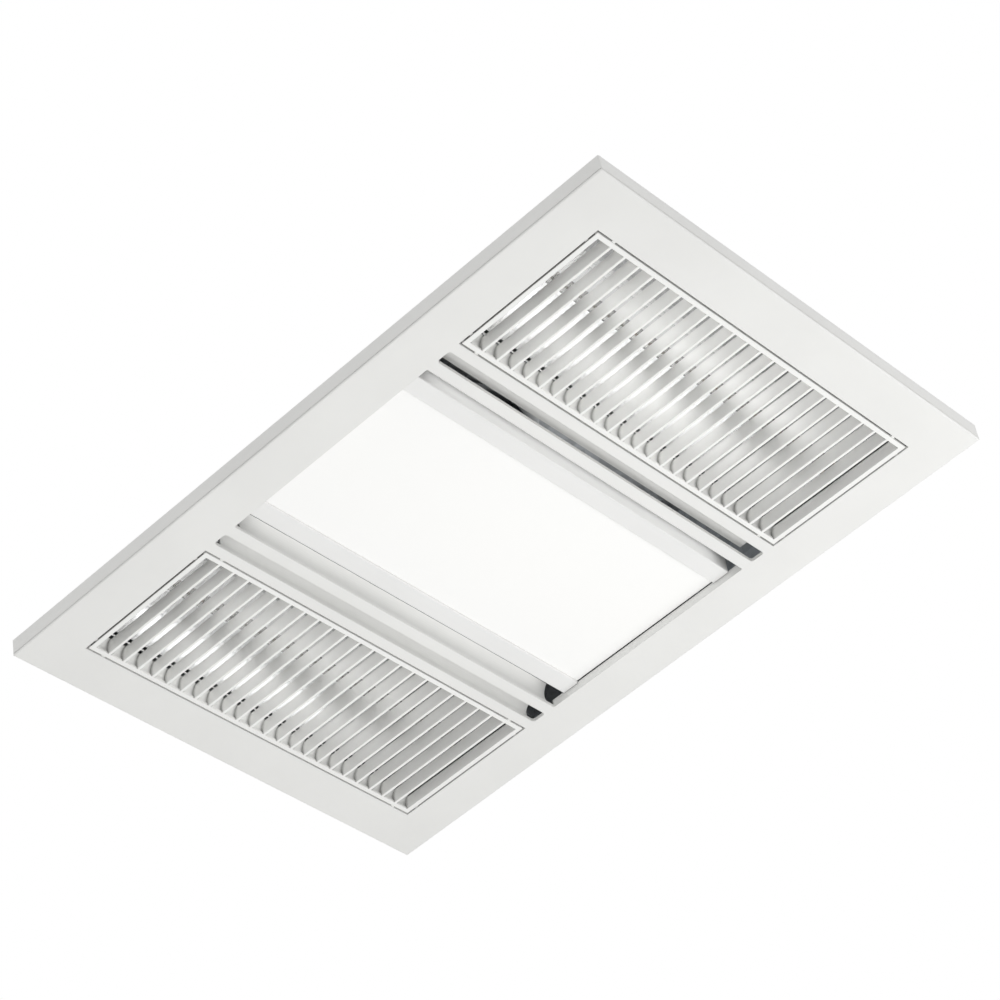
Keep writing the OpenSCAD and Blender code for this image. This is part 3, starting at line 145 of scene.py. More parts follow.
class Finish:
    # A material, or the world if it is given, with one method that adds any node to it
    def __init__(self, name, world=None):
        self.material = world or bpy.data.materials.new(name)
        self.material.use_nodes = True
        self.tree = self.material.node_tree
        self.tree.nodes.clear()
        self.point = self.node("ShaderNodeTexCoord", output="Object")

    def node(self, kind, settings=None, values=None, output=0):
        made = self.tree.nodes.new(kind)
        for name, value in (settings or {}).items():
            if name == "stops":
                self.setStops(made.color_ramp, value)
            else:
                setattr(made, name, value)
        for name, value in (values or {}).items():
            if isinstance(value, Wire):
                self.tree.links.new(value.socket, made.inputs[name])
            else:
                made.inputs[name].default_value = value
        return Wire(self, made.outputs[output]) if made.outputs else None

    def setStops(self, ramp, stops):
        while len(ramp.elements) < len(stops):
            ramp.elements.new(1.0)
        for element, (place, colour) in zip(ramp.elements, stops):
            element.position = place
            element.color = colour

    def axis(self, name):
        return self.node("ShaderNodeSeparateXYZ", values={"Vector": self.point}, output=name)

    def stretched(self, sx, sy, sz):
        return self.node("ShaderNodeMapping", values={"Vector": self.point, "Scale": (sx, sy, sz)})

    def noise(self, size, detail=2.0, rough=0.5, point=None):
        # size is the width of the blotches, in metres
        values = {"Vector": point or self.point, "Scale": 1 / size, "Detail": detail, "Roughness": rough}
        return self.node("ShaderNodeTexNoise", values=values)

    def cells(self, size, feature="F1", output="Distance", point=None):
        values = {"Vector": point or self.point, "Scale": 1 / size}
        return self.node("ShaderNodeTexVoronoi", {"feature": feature}, values, output)

    def mix(self, factor, first, second):
        # Sockets 0, 6 and 7 are the factor and the two colours, and output 2 is the mixed colour
        return self.node("ShaderNodeMix", {"data_type": "RGBA"}, {0: factor, 6: first, 7: second}, 2)

    def bump(self, height, depth, under=None):
        values = {"Height": height, "Distance": depth, "Strength": 1.0}
        if under:
            values["Normal"] = under
        return self.node("ShaderNodeBump", values=values)

    def softEdge(self, radius):
        return self.node("ShaderNodeBevel", {"samples": 4}, {"Radius": radius})

    def surface(self, **sockets):
        # One Principled shader, its sockets written as baseColor, roughness, coatWeight and so on
        values = {inWords(key): value for key, value in sockets.items()}
        return self.output(self.node("ShaderNodeBsdfPrincipled", values=values))

    def output(self, shader):
        self.node("ShaderNodeOutputMaterial", values={"Surface": shader})
        return self.material


def inWords(key):
    words = "".join(" " + letter if letter.isupper() else letter for letter in key)
    return {"ior": "IOR", "specular": "Specular IOR Level"}.get(key, words[0].upper() + words[1:])


def darker(colour, share):
    return tuple(part * share for part in colour[:3]) + (1.0,)


# Moulded plastic: fine grain, a very faint mottle and softened edges. If the last argument is given, it
# greys the deep corners that an occlusion test finds, as painted shade.
def mouldedPlastic(name, colour, roughness=0.42, grain=0.0007, depth=0.00002, edge=0.0004, mottle=0.03,
                   gloss=0.4, dust=None):
    look = Finish(name)
    cloud = look.noise(0.09, 3.0, 0.55)
    fine = look.noise(grain, 2.0, 0.6)
    base = look.mix(cloud.between(0.3, 0.7), darker(colour, 1 - mottle), colour)
    if dust:
        # Painted shade: the colour darkens where the occlusion test finds other surfaces close by
        clear = look.node("ShaderNodeAmbientOcclusion", {"samples": 8}, {"Distance": dust["depth"]}, "AO")
        inside = abs(abs(look.axis("X")) - dust["middleX"]) < dust["halfX"]
        amount = dust["amount"] * inside * (1 - clear.between(*dust["clearing"]))
        base = look.mix(amount, base, dust["colour"])
    rough = roughness + 0.08 * fine - 0.04 + 0.04 * (cloud - 0.5)
    normal = look.bump(fine, depth, look.softEdge(edge))
    return look.surface(baseColor=base, roughness=rough, normal=normal, specular=gloss)


# Powder coat: the shallow orange-peel of a baked finish
def powderCoat(name, colour, roughness=0.38, peel=0.0022, depth=0.00003, edge=0.0004):
    look = Finish(name)
    skin = look.noise(peel, 1.0, 0.4)
    cloud = look.noise(0.06, 2.0, 0.5)
    base = look.mix(cloud.between(0.3, 0.7), darker(colour, 0.975), colour)
    normal = look.bump(skin, depth, look.softEdge(edge))
    return look.surface(baseColor=base, roughness=roughness + 0.06 * (skin - 0.5), normal=normal)


# Galvanised sheet: crystals of zinc, each with its own shade and sheen
def galvanised(name, colour, crystal=0.011, edge=0.0003):
    look = Finish(name)
    # The crystals' borders are bent by shifting each point a few millimetres
    warp = look.node("ShaderNodeTexNoise", values={"Vector": look.point, "Scale": 160.0}, output=1)
    shift = {0: warp, 1: (0.006, 0.006, 0.006), 2: look.point}
    wobble = look.node("ShaderNodeVectorMath", {"operation": "MULTIPLY_ADD"}, shift)
    tone = look.cells(crystal, output="Color", point=wobble)
    grey = look.node("ShaderNodeRGBToBW", values={"Color": tone})
    small = look.cells(crystal / 3.2, output="Color", point=wobble)
    grain = look.node("ShaderNodeRGBToBW", values={"Color": small})
    stain = look.noise(0.12, 4.0, 0.6)
    mixed = 0.7 * grey + 0.3 * grain
    base = look.mix(mixed.between(0.15, 0.85), darker(colour, 0.72), colour)
    base = look.mix(0.25 * stain.between(0.45, 0.75), base, paint(150, 152, 155))
    rough = 0.34 + 0.2 * mixed + 0.08 * (stain - 0.5)
    borders = look.cells(crystal, "DISTANCE_TO_EDGE", point=wobble).between(0.0, 0.08)
    normal = look.bump(borders, 0.00001, look.softEdge(edge))
    return look.surface(baseColor=base, metallic=0.9, roughness=rough, normal=normal)


# Plated or brushed steel with fine lines along one axis: 0 is x, 1 is y, 2 is z
def brushedMetal(name, colour, along=2, roughness=0.32, line=0.0005, depth=0.000008, edge=0.0002):
    look = Finish(name)
    scale = [1.0, 1.0, 1.0]
    scale[along] = 0.02
    lines = look.noise(line, 3.0, 0.6, look.stretched(*scale))
    cloud = look.noise(0.03, 3.0, 0.6)
    base = look.mix((0.6 * lines + 0.4 * cloud).between(0.3, 0.7), darker(colour, 0.82), colour)
    rough = roughness + 0.14 * (lines - 0.5) + 0.1 * (cloud - 0.5)
    normal = look.bump(lines, depth, look.softEdge(edge))
    return look.surface(baseColor=base, metallic=1.0, roughness=rough, normal=normal)


# Turned metal: rings round the z axis through a point
def turnedMetal(name, colour, centre, pitch=0.0006, roughness=0.28):
    look = Finish(name)
    x = look.axis("X") - centre[0]
    y = look.axis("Y") - centre[1]
    reach = (x * x + y * y) ** 0.5
    rings = ((reach + look.axis("Z")) * (2 * math.pi / pitch)).wave()
    cloud = look.noise(0.01, 2.0)
    base = look.mix(0.5 * cloud + 0.25 * rings + 0.25, darker(colour, 0.85), colour)
    normal = look.bump(rings, 0.000006, look.softEdge(0.0002))
    return look.surface(baseColor=base, metallic=1.0, roughness=roughness + 0.08 * cloud, normal=normal)


def reflectorMetal(name, colour):
    # Bright rolled aluminium: faint rolling lines along the trough and soft ripples across it
    look = Finish(name)
    lines = look.noise(0.0011, 2.0, 0.5, look.stretched(1.0, 0.015, 1.0))
    ripple = look.noise(0.05, 1.5, 0.4, look.stretched(1.0, 0.35, 1.0))
    haze = look.noise(0.02, 3.0, 0.6)
    base = look.mix(haze.between(0.35, 0.75), colour, darker(colour, 0.9))
    normal = look.bump(ripple, 0.0002, look.bump(lines, 0.000004))
    return look.surface(baseColor=base, metallic=1.0, roughness=0.16 + 0.12 * haze, normal=normal)


def quartzGlass(name):
    # Clear glass with a milky film and slow ripples along the tube
    look = Finish(name)
    ripple = look.noise(0.012, 2.0, 0.5, look.stretched(1.0, 0.2, 1.0))
    film = look.noise(0.004, 3.0)
    normal = look.bump(ripple, 0.00012)
    milk = look.mix(film.between(0.3, 0.7), paint(232, 231, 230), paint(244, 244, 242))
    return look.surface(baseColor=milk, roughness=0.06 + 0.1 * film.between(0.5, 0.8), normal=normal,
                        transmissionWeight=0.92, ior=1.46)


def opalPanel(name, colour, glow, halfWidth=0.07):
    # The light panel: opal plastic that glows a little, most along its middle, with a fine grain
    look = Finish(name)
    grain = look.noise(0.0009, 2.0, 0.6)
    across = abs(look.axis("X")) / halfWidth
    warm = look.mix(across.between(0.2, 1.0), paint(255, 254, 251), paint(250, 250, 249))
    normal = look.bump(grain, 0.000015)
    return look.surface(baseColor=colour, roughness=0.5 + 0.06 * (grain - 0.5), normal=normal,
                        emissionColor=warm, emissionStrength=glow)


def ceramicBody(name):
    # Unglazed ceramic, clouded and specked
    look = Finish(name)
    specks = look.cells(0.0011).between(0.1, 0.22)
    cloud = look.noise(0.006, 3.0, 0.6)
    base = look.mix(cloud.between(0.35, 0.7), paint(232, 226, 213), paint(244, 240, 231))
    base = look.mix(0.35 * (1 - specks), base, paint(188, 178, 160))
    normal = look.bump(look.noise(0.0006, 3.0, 0.6), 0.00004, look.softEdge(0.0005))
    return look.surface(baseColor=base, roughness=0.62 + 0.12 * cloud, normal=normal)


def hotWire(name):
    # Resistance wire, blued and browned where it has been hot
    look = Finish(name)
    burn = look.noise(0.009, 2.0, 0.5)
    scale = look.noise(0.0008, 3.0, 0.6)
    stops = [(0.3, paint(96, 88, 84)), (0.5, paint(128, 104, 82)), (0.7, paint(84, 88, 104))]
    base = look.node("ShaderNodeValToRGB", {"stops": stops}, {"Fac": burn})
    normal = look.bump(scale, 0.00003)
    return look.surface(baseColor=base, metallic=0.85, roughness=0.38 + 0.2 * scale, normal=normal)


def foamRubber(name):
    # Black foam with open pores
    look = Finish(name)
    pores = look.cells(0.0009)
    cloud = look.noise(0.01, 2.0)
    base = look.mix(pores.between(0.1, 0.5), paint(26, 26, 27), paint(52, 52, 53))
    return look.surface(baseColor=base, roughness=0.86 + 0.08 * cloud, normal=look.bump(pores, 0.00012))


def ledBoard(name, chipTop):
    # White solder mask with copper showing faintly through it, and yellow phosphor on the chips below
    look = Finish(name)
    chips = 1 - look.axis("Z").between(chipTop - 0.0001, chipTop)
    tracks = look.cells(0.006, "DISTANCE_TO_EDGE", point=look.stretched(0.35, 1.0, 1.0)).between(0.03, 0.06)
    weave = look.noise(0.0008, 2.0)
    mask = look.mix(tracks, paint(226, 228, 220), paint(240, 241, 237))
    base = look.mix(chips, mask, paint(247, 222, 128))
    normal = look.bump(weave, 0.00001, look.softEdge(0.0002))
    return look.surface(baseColor=base, roughness=0.36 + 0.1 * weave, normal=normal)


def enamelled(name, colour):
    # The motor's baked enamel, with a little dust on what faces up
    look = Finish(name)
    skin = look.noise(0.0016, 1.5, 0.45)
    outward = look.node("ShaderNodeNewGeometry", output="Normal")
    upward = look.node("ShaderNodeSeparateXYZ", values={"Vector": outward}, output="Z")
    dust = 0.22 * upward.between(0.6, 1.0) * look.noise(0.014, 4.0, 0.65).between(0.42, 0.7)
    base = look.mix(dust, colour, paint(122, 118, 110))
    rough = 0.34 + 0.1 * (skin - 0.5) + 0.4 * dust
    normal = look.bump(skin, 0.00004, look.softEdge(0.0006))
    return look.surface(baseColor=base, roughness=rough, normal=normal)


# Painted shade in the deep corners of the louvre inserts, found by an occlusion test, but not in the gap
# round them. A corner is fully shaded up to the first clearing value, and unshaded from the second on.
louvreCornerShade = {
    "middleX": 0.1925,
    "halfX": 0.0612,
    "depth": 0.005,
    "clearing": (0.3, 0.85),
    "amount": 0.85,
    "colour": paint(112, 111, 109),
}

white = paint(238, 238, 236)
fanAxis = (0.0, -0.022)
chipHigh = 0.0008
finishes = {
    "face_white": mouldedPlastic("faceWhite", white, edge=0.0006),
    "louvre_white": mouldedPlastic("louvreWhite", paint(246, 246, 244), roughness=0.36, grain=0.0005,
                                   mottle=0.015, dust=louvreCornerShade),
    "guide_white": mouldedPlastic("guideWhite", white, roughness=0.46),
    "hanger_steel": brushedMetal("hangerSteel", paint(196, 199, 204), roughness=0.34),
    "galvanised": galvanised("galvanisedSheet", paint(205, 208, 211)),
    "rivet_aluminium": turnedMetal("rivetAluminium", paint(214, 215, 217), (0.0, 0.0), pitch=0.0004),
    "guide_black": mouldedPlastic("guideBlack", paint(38, 38, 40), roughness=0.5, mottle=0.12),
    "reflector_metal": reflectorMetal("reflectorMetal", paint(240, 240, 241)),
    "post_steel": brushedMetal("postSteel", paint(208, 208, 206), roughness=0.28),
    "quartz": quartzGlass("quartzGlass"),
    "element": hotWire("hotWire"),
    "ceramic": ceramicBody("ceramicBody"),
    "clip_steel": brushedMetal("clipSteel", paint(200, 203, 206), along=1, roughness=0.3),
    "cutout_body": mouldedPlastic("cutoutBody", paint(34, 33, 33), roughness=0.4, mottle=0.1),
    "inlet_plastic": mouldedPlastic("inletPlastic", paint(226, 228, 229), roughness=0.34),
    "scroll_metal": galvanised("scrollSheet", paint(212, 214, 217), crystal=0.008),
    "wheel_plastic": mouldedPlastic("wheelPlastic", paint(224, 227, 229), roughness=0.32, edge=0.0003),
    "shaft_steel": brushedMetal("shaftSteel", paint(214, 214, 216), along=2, roughness=0.2, line=0.0003),
    "nut_brass": turnedMetal("nutBrass", paint(214, 178, 98), fanAxis, roughness=0.26),
    "motor_paint": enamelled("motorEnamel", paint(42, 43, 46)),
    "plate_steel": brushedMetal("plateSteel", paint(203, 206, 208), along=0, roughness=0.34),
    "bearing_steel": turnedMetal("bearingSteel", paint(206, 206, 209), fanAxis, pitch=0.0005, roughness=0.2),
    "screw_zinc": turnedMetal("screwZinc", paint(214, 212, 200), fanAxis, pitch=0.0003, roughness=0.3),
    "capacitor_case": mouldedPlastic("capacitorCase", paint(232, 232, 229), roughness=0.3),
    "gasket_foam": foamRubber("gasketFoam"),
    "spigot_plastic": mouldedPlastic("spigotPlastic", paint(233, 233, 231), roughness=0.36),
    "flap_plastic": mouldedPlastic("flapPlastic", paint(228, 228, 226), roughness=0.4),
    "rail_white": powderCoat("railWhite", paint(240, 240, 239)),
    "diffuser": opalPanel("opalPanel", paint(244, 244, 243), glow=0.1),
    "tray_metal": brushedMetal("trayMetal", paint(216, 217, 218), along=1, roughness=0.4),
    "led_board": ledBoard("ledBoard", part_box("led_strips")[0].z + chipHigh),
    "driver_case": mouldedPlastic("driverCase", paint(230, 230, 228), roughness=0.48),
    "strap_steel": galvanised("strapSheet", paint(206, 208, 211), crystal=0.007),
    "terminal_case": mouldedPlastic("terminalCase", paint(216, 216, 212), roughness=0.52, mottle=0.05),
    "terminal_nylon": mouldedPlastic("terminalNylon", paint(240, 240, 234), roughness=0.3),
    "gland_nylon": mouldedPlastic("glandNylon", paint(44, 44, 45), roughness=0.44, mottle=0.1),
}

for part in frame["record"]["subparts"]:
    mesh = frame["nodes"][part["node"]].data
    mesh.materials.clear()
    mesh.materials.append(finishes[part["material_slot"]])
print("finishes given to the frame:", len(finishes))


def addMesh(name, points, faces, material):
    mesh = bpy.data.meshes.new(name)
    mesh.from_pydata([tuple(p) for p in points], [], faces)
    mesh.update()
    made = bpy.data.objects.new(name, mesh)
    bpy.context.scene.collection.objects.link(made)
    mesh.materials.append(material)
    return made


def smooth(piece, angle=35):
    piece.data.polygons.foreach_set("use_smooth", [True] * len(piece.data.polygons))
    piece.data.set_sharp_from_angle(angle=math.radians(angle))


def lathe(profile, sides=32, closed=False):
    # Turns a profile of (radius, height) about z, from its top outwards and down. A point on the
    # axis becomes one vertex, and closed joins the last ring to the first, for a ring-shaped piece.
    points, rings, faces = [], [], []
    for radius, height in profile:
        if radius == 0:
            rings.append([len(points)])
            points.append(Vector((0, 0, height)))
            continue
        rings.append(list(range(len(points), len(points) + sides)))
        for k in range(sides):
            turn = 2 * math.pi * k / sides
            points.append(Vector((radius * math.cos(turn), radius * math.sin(turn), height)))
    for upper, lower in zip(rings, rings[1:] + rings[:1] if closed else rings[1:]):
        for k in range(sides):
            n = (k + 1) % sides
            if len(upper) == 1:
                faces.append((upper[0], lower[k], lower[n]))
            elif len(lower) == 1:
                faces.append((upper[k], lower[0], upper[n]))
            else:
                faces.append((upper[k], lower[k], lower[n], upper[n]))
    return points, faces


# The four corners of a rectangle, counter-clockwise as seen from +z
cornerSigns = [(-1, -1), (1, -1), (1, 1), (-1, 1)]


def plate(width, height, thick, bevel):
    # A flat strip lying on z = 0 with its upper edges bevelled
    w, h, b = width / 2, height / 2, bevel
    levels = [(w, h, 0), (w, h, thick - b), (w - b, h - b, thick)]
    points = [Vector((sx * x, sy * y, z)) for x, y, z in levels for sx, sy in cornerSigns]
    faces = [(3, 2, 1, 0), (8, 9, 10, 11)]
    for low in (0, 4):
        faces += [(low + k, low + (k + 1) % 4, low + 4 + (k + 1) % 4, low + 4 + k) for k in range(4)]
    return points, faces


def facing(place, direction, spin=0.0):
    # Stands a shape that was made on z = 0 at a place, pointing along a direction
    turn = Vector(direction).to_track_quat("Z", "Y").to_matrix().to_4x4()
    return Matrix.Translation(place) @ turn @ Matrix.Rotation(spin, 4, "Z")


def joined(shapes):
    points, faces = [], []
    for shapePoints, shapeFaces in shapes:
        faces += [tuple(len(points) + k for k in face) for face in shapeFaces]
        points += shapePoints
    return points, faces


def repeated(shape, spots):
    # Copies of one shape, joined in one mesh
    return joined([([spot @ point for point in shape[0]], shape[1]) for spot in spots])


def addPiece(name, shape, slot, body="housing", replaced=None, angle=35):
    # One piece of the unit, on the housing unless it names another body
    piece = addMesh(name, shape[0], shape[1], finishes[slot])
    smooth(piece, angle)
    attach(piece, body)
    if replaced:
        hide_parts(replaced)
    return piece


# Heating coils, drawn inside the quartz tubes in place of the plain rods
coils = {
    "x": 0.1925,
    "z": 0.017,
    "radius": 0.00088,
    "wire": 0.00024,
    "pitch": 0.0014,
    "woundHalf": 0.157,
    "endHalf": 0.1676,
    "turnSteps": 10,
    "taperSteps": 20,
}


def coilPath(coils):
    half = coils["woundHalf"]
    steps = int(2 * half / coils["pitch"] * coils["turnSteps"])
    path = [Vector((0, -coils["endHalf"], 0))]
    for k in range(steps + 1):
        turn = 2 * math.pi * k / coils["turnSteps"]
        fromEnd = min(k, steps - k)
        reach = coils["radius"] * min(1, fromEnd / coils["taperSteps"] + 0.05)
        along = -half + 2 * half * k / steps
        path.append(Vector((reach * math.cos(turn), along, reach * math.sin(turn))))
    path.append(Vector((0, coils["endHalf"], 0)))
    return path


def wireAlong(path, radius, sides=5):
    # A round wire along a path that winds about y, closed at both ends
    points, faces = [], []
    for k, middle in enumerate(path):
        ahead = (path[min(k + 1, len(path) - 1)] - path[max(k - 1, 0)]).normalized()
        side = Vector((0, 1, 0)).cross(ahead).normalized()
        other = ahead.cross(side)
        for n in range(sides):
            turn = 2 * math.pi * n / sides
            points.append(middle + radius * (math.cos(turn) * side + math.sin(turn) * other))
    for k in range(len(path) - 1):
        near, far = k * sides, (k + 1) * sides
        for n in range(sides):
            m = (n + 1) % sides
            faces.append((near + n, near + m, far + m, far + n))
    last = (len(path) - 1) * sides
    faces += [tuple(reversed(range(sides))), tuple(range(last, last + sides))]
    return points, faces


coil = wireAlong(coilPath(coils), coils["wire"])
spots = [Matrix.Translation((side * coils["x"], 0, coils["z"])) for side in (-1, 1)]
addPiece("heatingCoils", repeated(coil, spots), "element", replaced="heater_elements", angle=60)
print("heating coils wound")


# Pan-head screws with a cross recess, in place of the plain heads
screws = {
    "headRadius": 0.004,
    "headHeight": 0.002,
    "shankRadius": 0.002,
    "recessLength": 0.0044,
    "recessWidth": 0.0011,
    "recessDepth": 0.0012,
    "threadPitch": 0.0007,
    "threadRoot": 0.82,
}


def crossCutter(screws):
    # A cross that narrows downwards, standing on z = 0 with its wide end up
    points = []
    for level, share, thinShare in ((-screws["recessDepth"], 0.45, 0.7), (0.0005, 1.1, 1.1)):
        long = screws["recessLength"] / 2 * share
        thin = screws["recessWidth"] / 2 * thinShare
        for k in range(4):
            turn = Matrix.Rotation(math.pi / 2 * k, 3, "Z")
            for x, y in ((long, -thin), (long, thin), (thin, thin)):
                points.append(turn @ Vector((x, y, 0)) + Vector((0, 0, level)))
    faces = [tuple(reversed(range(12))), tuple(range(12, 24))]
    faces += [(k, (k + 1) % 12, 12 + (k + 1) % 12, 12 + k) for k in range(12)]
    return points, faces


def panScrew(screws, shank):
    # The head is a low dome on z = 0, with the threaded shank below it
    r, h, s, pitch = (screws[key] for key in ("headRadius", "headHeight", "shankRadius", "threadPitch"))
    dome = [(0, 1), (0.35, 0.99), (0.62, 0.92), (0.82, 0.75), (0.95, 0.48), (1, 0.2), (1, 0)]
    profile = [(x * r, z * h) for x, z in dome] + [(s, 0)]
    for k in range(int(shank / pitch)):
        down = -(k + 0.5) * pitch
        profile += [(s, down), (screws["threadRoot"] * s, down - 0.5 * pitch)]
    profile.append((0, -shank))
    blank = addMesh("screwBlank", *lathe(profile, 40), finishes["screw_zinc"])
    cross, crossFaces = crossCutter(screws)
    raised = [p + Vector((0, 0, h)) for p in cross]
    cutter = addMesh("screwCutter", raised, crossFaces, finishes["screw_zinc"])
    cut = blank.modifiers.new("recess", "BOOLEAN")
    cut.operation = "DIFFERENCE"
    cut.solver = "EXACT"
    cut.object = cutter
    bpy.context.view_layer.update()
    ready = blank.evaluated_get(bpy.context.evaluated_depsgraph_get()).to_mesh()
    points = [corner.co.copy() for corner in ready.vertices]
    faces = [tuple(face.vertices) for face in ready.polygons]
    bpy.data.objects.remove(cutter)
    bpy.data.objects.remove(blank)
    return points, faces


# Where each set of screws stands: the underside of its head, and the way that it faces. The motor's
# four screws stand in a square round the fan's axis.
motorReach = 0.03642
ductPlateY = 0.1801
screwSets = [
    {"name": "motorPlateScrews", "replaced": "motor_screws", "shank": 0.0031, "up": (0, 0, 1),
     "places": [(fanAxis[0] + sx * motorReach, fanAxis[1] + sy * motorReach, 0.1875)
                for sx in (-1, 1) for sy in (-1, 1)]},
    {"name": "ductPlateScrews", "replaced": "duct_screws", "shank": 0.0061, "up": (0, 1, 0),
     "places": [(x, ductPlateY, z) for x in (0.019, 0.111) for z in (0.094, 0.180)]},
    {"name": "wiringLidScrews", "replaced": "cover_screws", "shank": 0.0104, "up": (0, 0, 1),
     "places": [(0.1545, -0.148, 0.1104), (0.2305, -0.042, 0.1104)]},
]


for group in screwSets:
    shape = panScrew(screws, group["shank"])
    # Each screw stopped at a turn of its own, in radians
    spots = [facing(place, group["up"], 0.4 + 1.3 * k) for k, place in enumerate(group["places"])]
    addPiece(group["name"], repeated(shape, spots), "screw_zinc", replaced=group["replaced"])
print("screws placed")


# Blind rivets: a low dome with the stub of its mandrel down in the middle
rivets = {
    "radius": 0.0032,
    "height": 0.0016,
    "hole": 0.0011,
    "grip": 0.0022,
    "frameX": 0.196,
    "framePairHalf": 0.045,
    "frameY": 0.1770,
    "frameZ": 0.007,
    "seamScale": 0.8,
}


def blindRivet(rivets, scale=1.0):
    r, h, hole = (rivets[key] * scale for key in ("radius", "height", "hole"))
    deep = -rivets["grip"]
    stub = [(0, 0.55 * h), (0.7 * hole, 0.5 * h), (hole, 0.35 * h), (hole, 0.85 * h), (1.25 * hole, h)]
    dome = [(0.62 * r, 0.93 * h), (0.85 * r, 0.62 * h), (r, 0.16 * h), (r, 0)]
    shank = [(0.5 * r, 0), (0.5 * r, deep), (0, deep)]
    return lathe(stub + dome + shank, 28)


# Two pairs on each end of the frame, one in line with each heater box
frameSpots = []
for side in (-1, 1):
    for near in (-1, 1):
        x = side * rivets["frameX"] + near * rivets["framePairHalf"]
        for end in (-1, 1):
            frameSpots.append(facing((x, end * rivets["frameY"], rivets["frameZ"]), (0, end, 0)))
frameHeads = repeated(blindRivet(rivets), frameSpots)
addPiece("frameBlindRivets", frameHeads, "rivet_aluminium", replaced="frame_rivets")


# Lap seams up the corners of the three boxes, riveted and spot-welded
seams = {"width": 0.011, "thick": 0.0007, "bevel": 0.0003, "inset": 0.0062, "endGap": 0.8}
corners = [
    {"x": 0.124, "low": 0.0796, "high": 0.1858, "rivets": 3},
    {"x": 0.268, "low": 0.0150, "high": 0.0778, "rivets": 2},
]
boxEnd = 0.1756


def seamPieces(seams, corners):
    # The strips as one shape, and where the rivets and the welds between them stand
    strips, heads, welds = [], [], []
    for corner in corners:
        tall, count = corner["high"] - corner["low"], corner["rivets"]
        strip = plate(seams["width"], tall, seams["thick"], seams["bevel"])
        # endGap is the gap from each end to the first rivet, counted in steps
        step = tall / (2 * count - 2 + 2 * seams["endGap"])
        spots = []
        for side in (-1, 1):
            out = Vector((side, 0, 0))
            stand = Matrix(((0, side, 0), (0, 0, 1), out)).transposed().to_4x4()
            for end in (-1, 1):
                y = end * (boxEnd - seams["inset"])
                middle = Vector((side * corner["x"], y, corner["low"] + tall / 2))
                spots.append(Matrix.Translation(middle) @ stand)
                for k in range(2 * count - 1):
                    up = Vector((0, 0, (k - count + 1) * step))
                    spot = facing(middle + up + seams["thick"] * out, out)
                    (welds if k % 2 else heads).append(spot)
        strips.append(repeated(strip, spots))
    return joined(strips), heads, welds


# A spot weld is a shallow dish with a raised ring round it
weldProfile = [(0, 0.00003), (0.0014, 0.00005), (0.0020, 0.00022), (0.0026, 0.00022), (0.0031, 0),
               (0.0031, -0.0002), (0, -0.0002)]
seamStrips, seamHeads, seamWelds = seamPieces(seams, corners)
addPiece("cornerSeams", seamStrips, "galvanised")
seamRivet = blindRivet(rivets, rivets["seamScale"])
addPiece("seamRivets", repeated(seamRivet, seamHeads), "rivet_aluminium")

# Rows of welds along the long edges of the box tops, where the inner flanges lie
weldRows = {"edges": [(0.1165, 0.1860), (0.2605, 0.0780)], "count": 8, "reach": boxEnd - 0.012}
step = 2 * weldRows["reach"] / (weldRows["count"] - 1)
for x, z in weldRows["edges"]:
    for side in (-1, 1):
        for k in range(weldRows["count"]):
            seamWelds.append(facing((side * x, k * step - weldRows["reach"], z), (0, 0, 1)))
addPiece("spotWelds", repeated(lathe(weldProfile, 24), seamWelds), "galvanised")
print("seams, rivets and welds placed:", len(seamHeads), len(seamWelds))


# Duct spigot: two beads that hold the hose clamp, and gusset ribs on the plate
spigot = {
    "x": 0.065,
    "z": 0.137,
    "radius": 0.049,
    "beads": (0.2215, 0.2315),
    "beadHalf": 0.0016,
    "beadHigh": 0.0009,
    "ribHigh": 0.009,
    "ribLong": 0.0075,
    "ribHalf": 0.0009,
    "ribTip": 0.0009,
    "ribFoot": 0.0008,
    "ribAngles": (-24, 0, 24, 156, 180, 204),
    "sunk": 0.0002,
    "ribSunk": 0.0003,
}


def beadProfile(spigot, middle):
    r, half = spigot["radius"] - spigot["sunk"], spigot["beadHalf"]
    up = spigot["beadHigh"] + spigot["sunk"]
    arc = [math.pi * k / 8 for k in range(9)]
    return [(r + up * math.sin(a), middle + half * math.cos(a)) for a in arc]


def spigotRib(spigot, angle):
    # A rib that leans from the plate to the pipe, sunk a little into both
    r, foot = spigot["radius"] - spigot["ribSunk"], -spigot["sunk"]
    far, high = r + spigot["ribLong"], spigot["ribHigh"]
    outline = [(r, foot), (far, foot), (far, spigot["ribFoot"]), (r + spigot["ribTip"], high), (r, high)]
    points = [Vector((x, side * spigot["ribHalf"], z)) for side in (-1, 1) for x, z in outline]
    faces = [(0, 1, 2, 3, 4), (9, 8, 7, 6, 5)]
    faces += [(k, 5 + k, 5 + (k + 1) % 5, (k + 1) % 5) for k in range(5)]
    turn = Matrix.Rotation(math.radians(angle), 4, "Z")
    return [turn @ p for p in points], faces


onDuct = facing((spigot["x"], 0, spigot["z"]), (0, 1, 0))
beads = joined([lathe(beadProfile(spigot, y), 96, closed=True) for y in spigot["beads"]])
addPiece("clampBeads", repeated(beads, [onDuct]), "spigot_plastic", angle=60)
atPlate = facing((spigot["x"], ductPlateY, spigot["z"]), (0, 1, 0))
ribs = joined([spigotRib(spigot, angle) for angle in spigot["ribAngles"]])
addPiece("spigotRibs", repeated(ribs, [atPlate]), "spigot_plastic")


# Cable gland: a ribbed clamping nut with its rubber seal
gland = {
    "at": (0.1925, -0.1620, 0.0930),
    "outer": 0.0088,
    "bore": 0.0062,
    "long": 0.0055,
    "ribs": 20,
    "valley": 0.95,
}


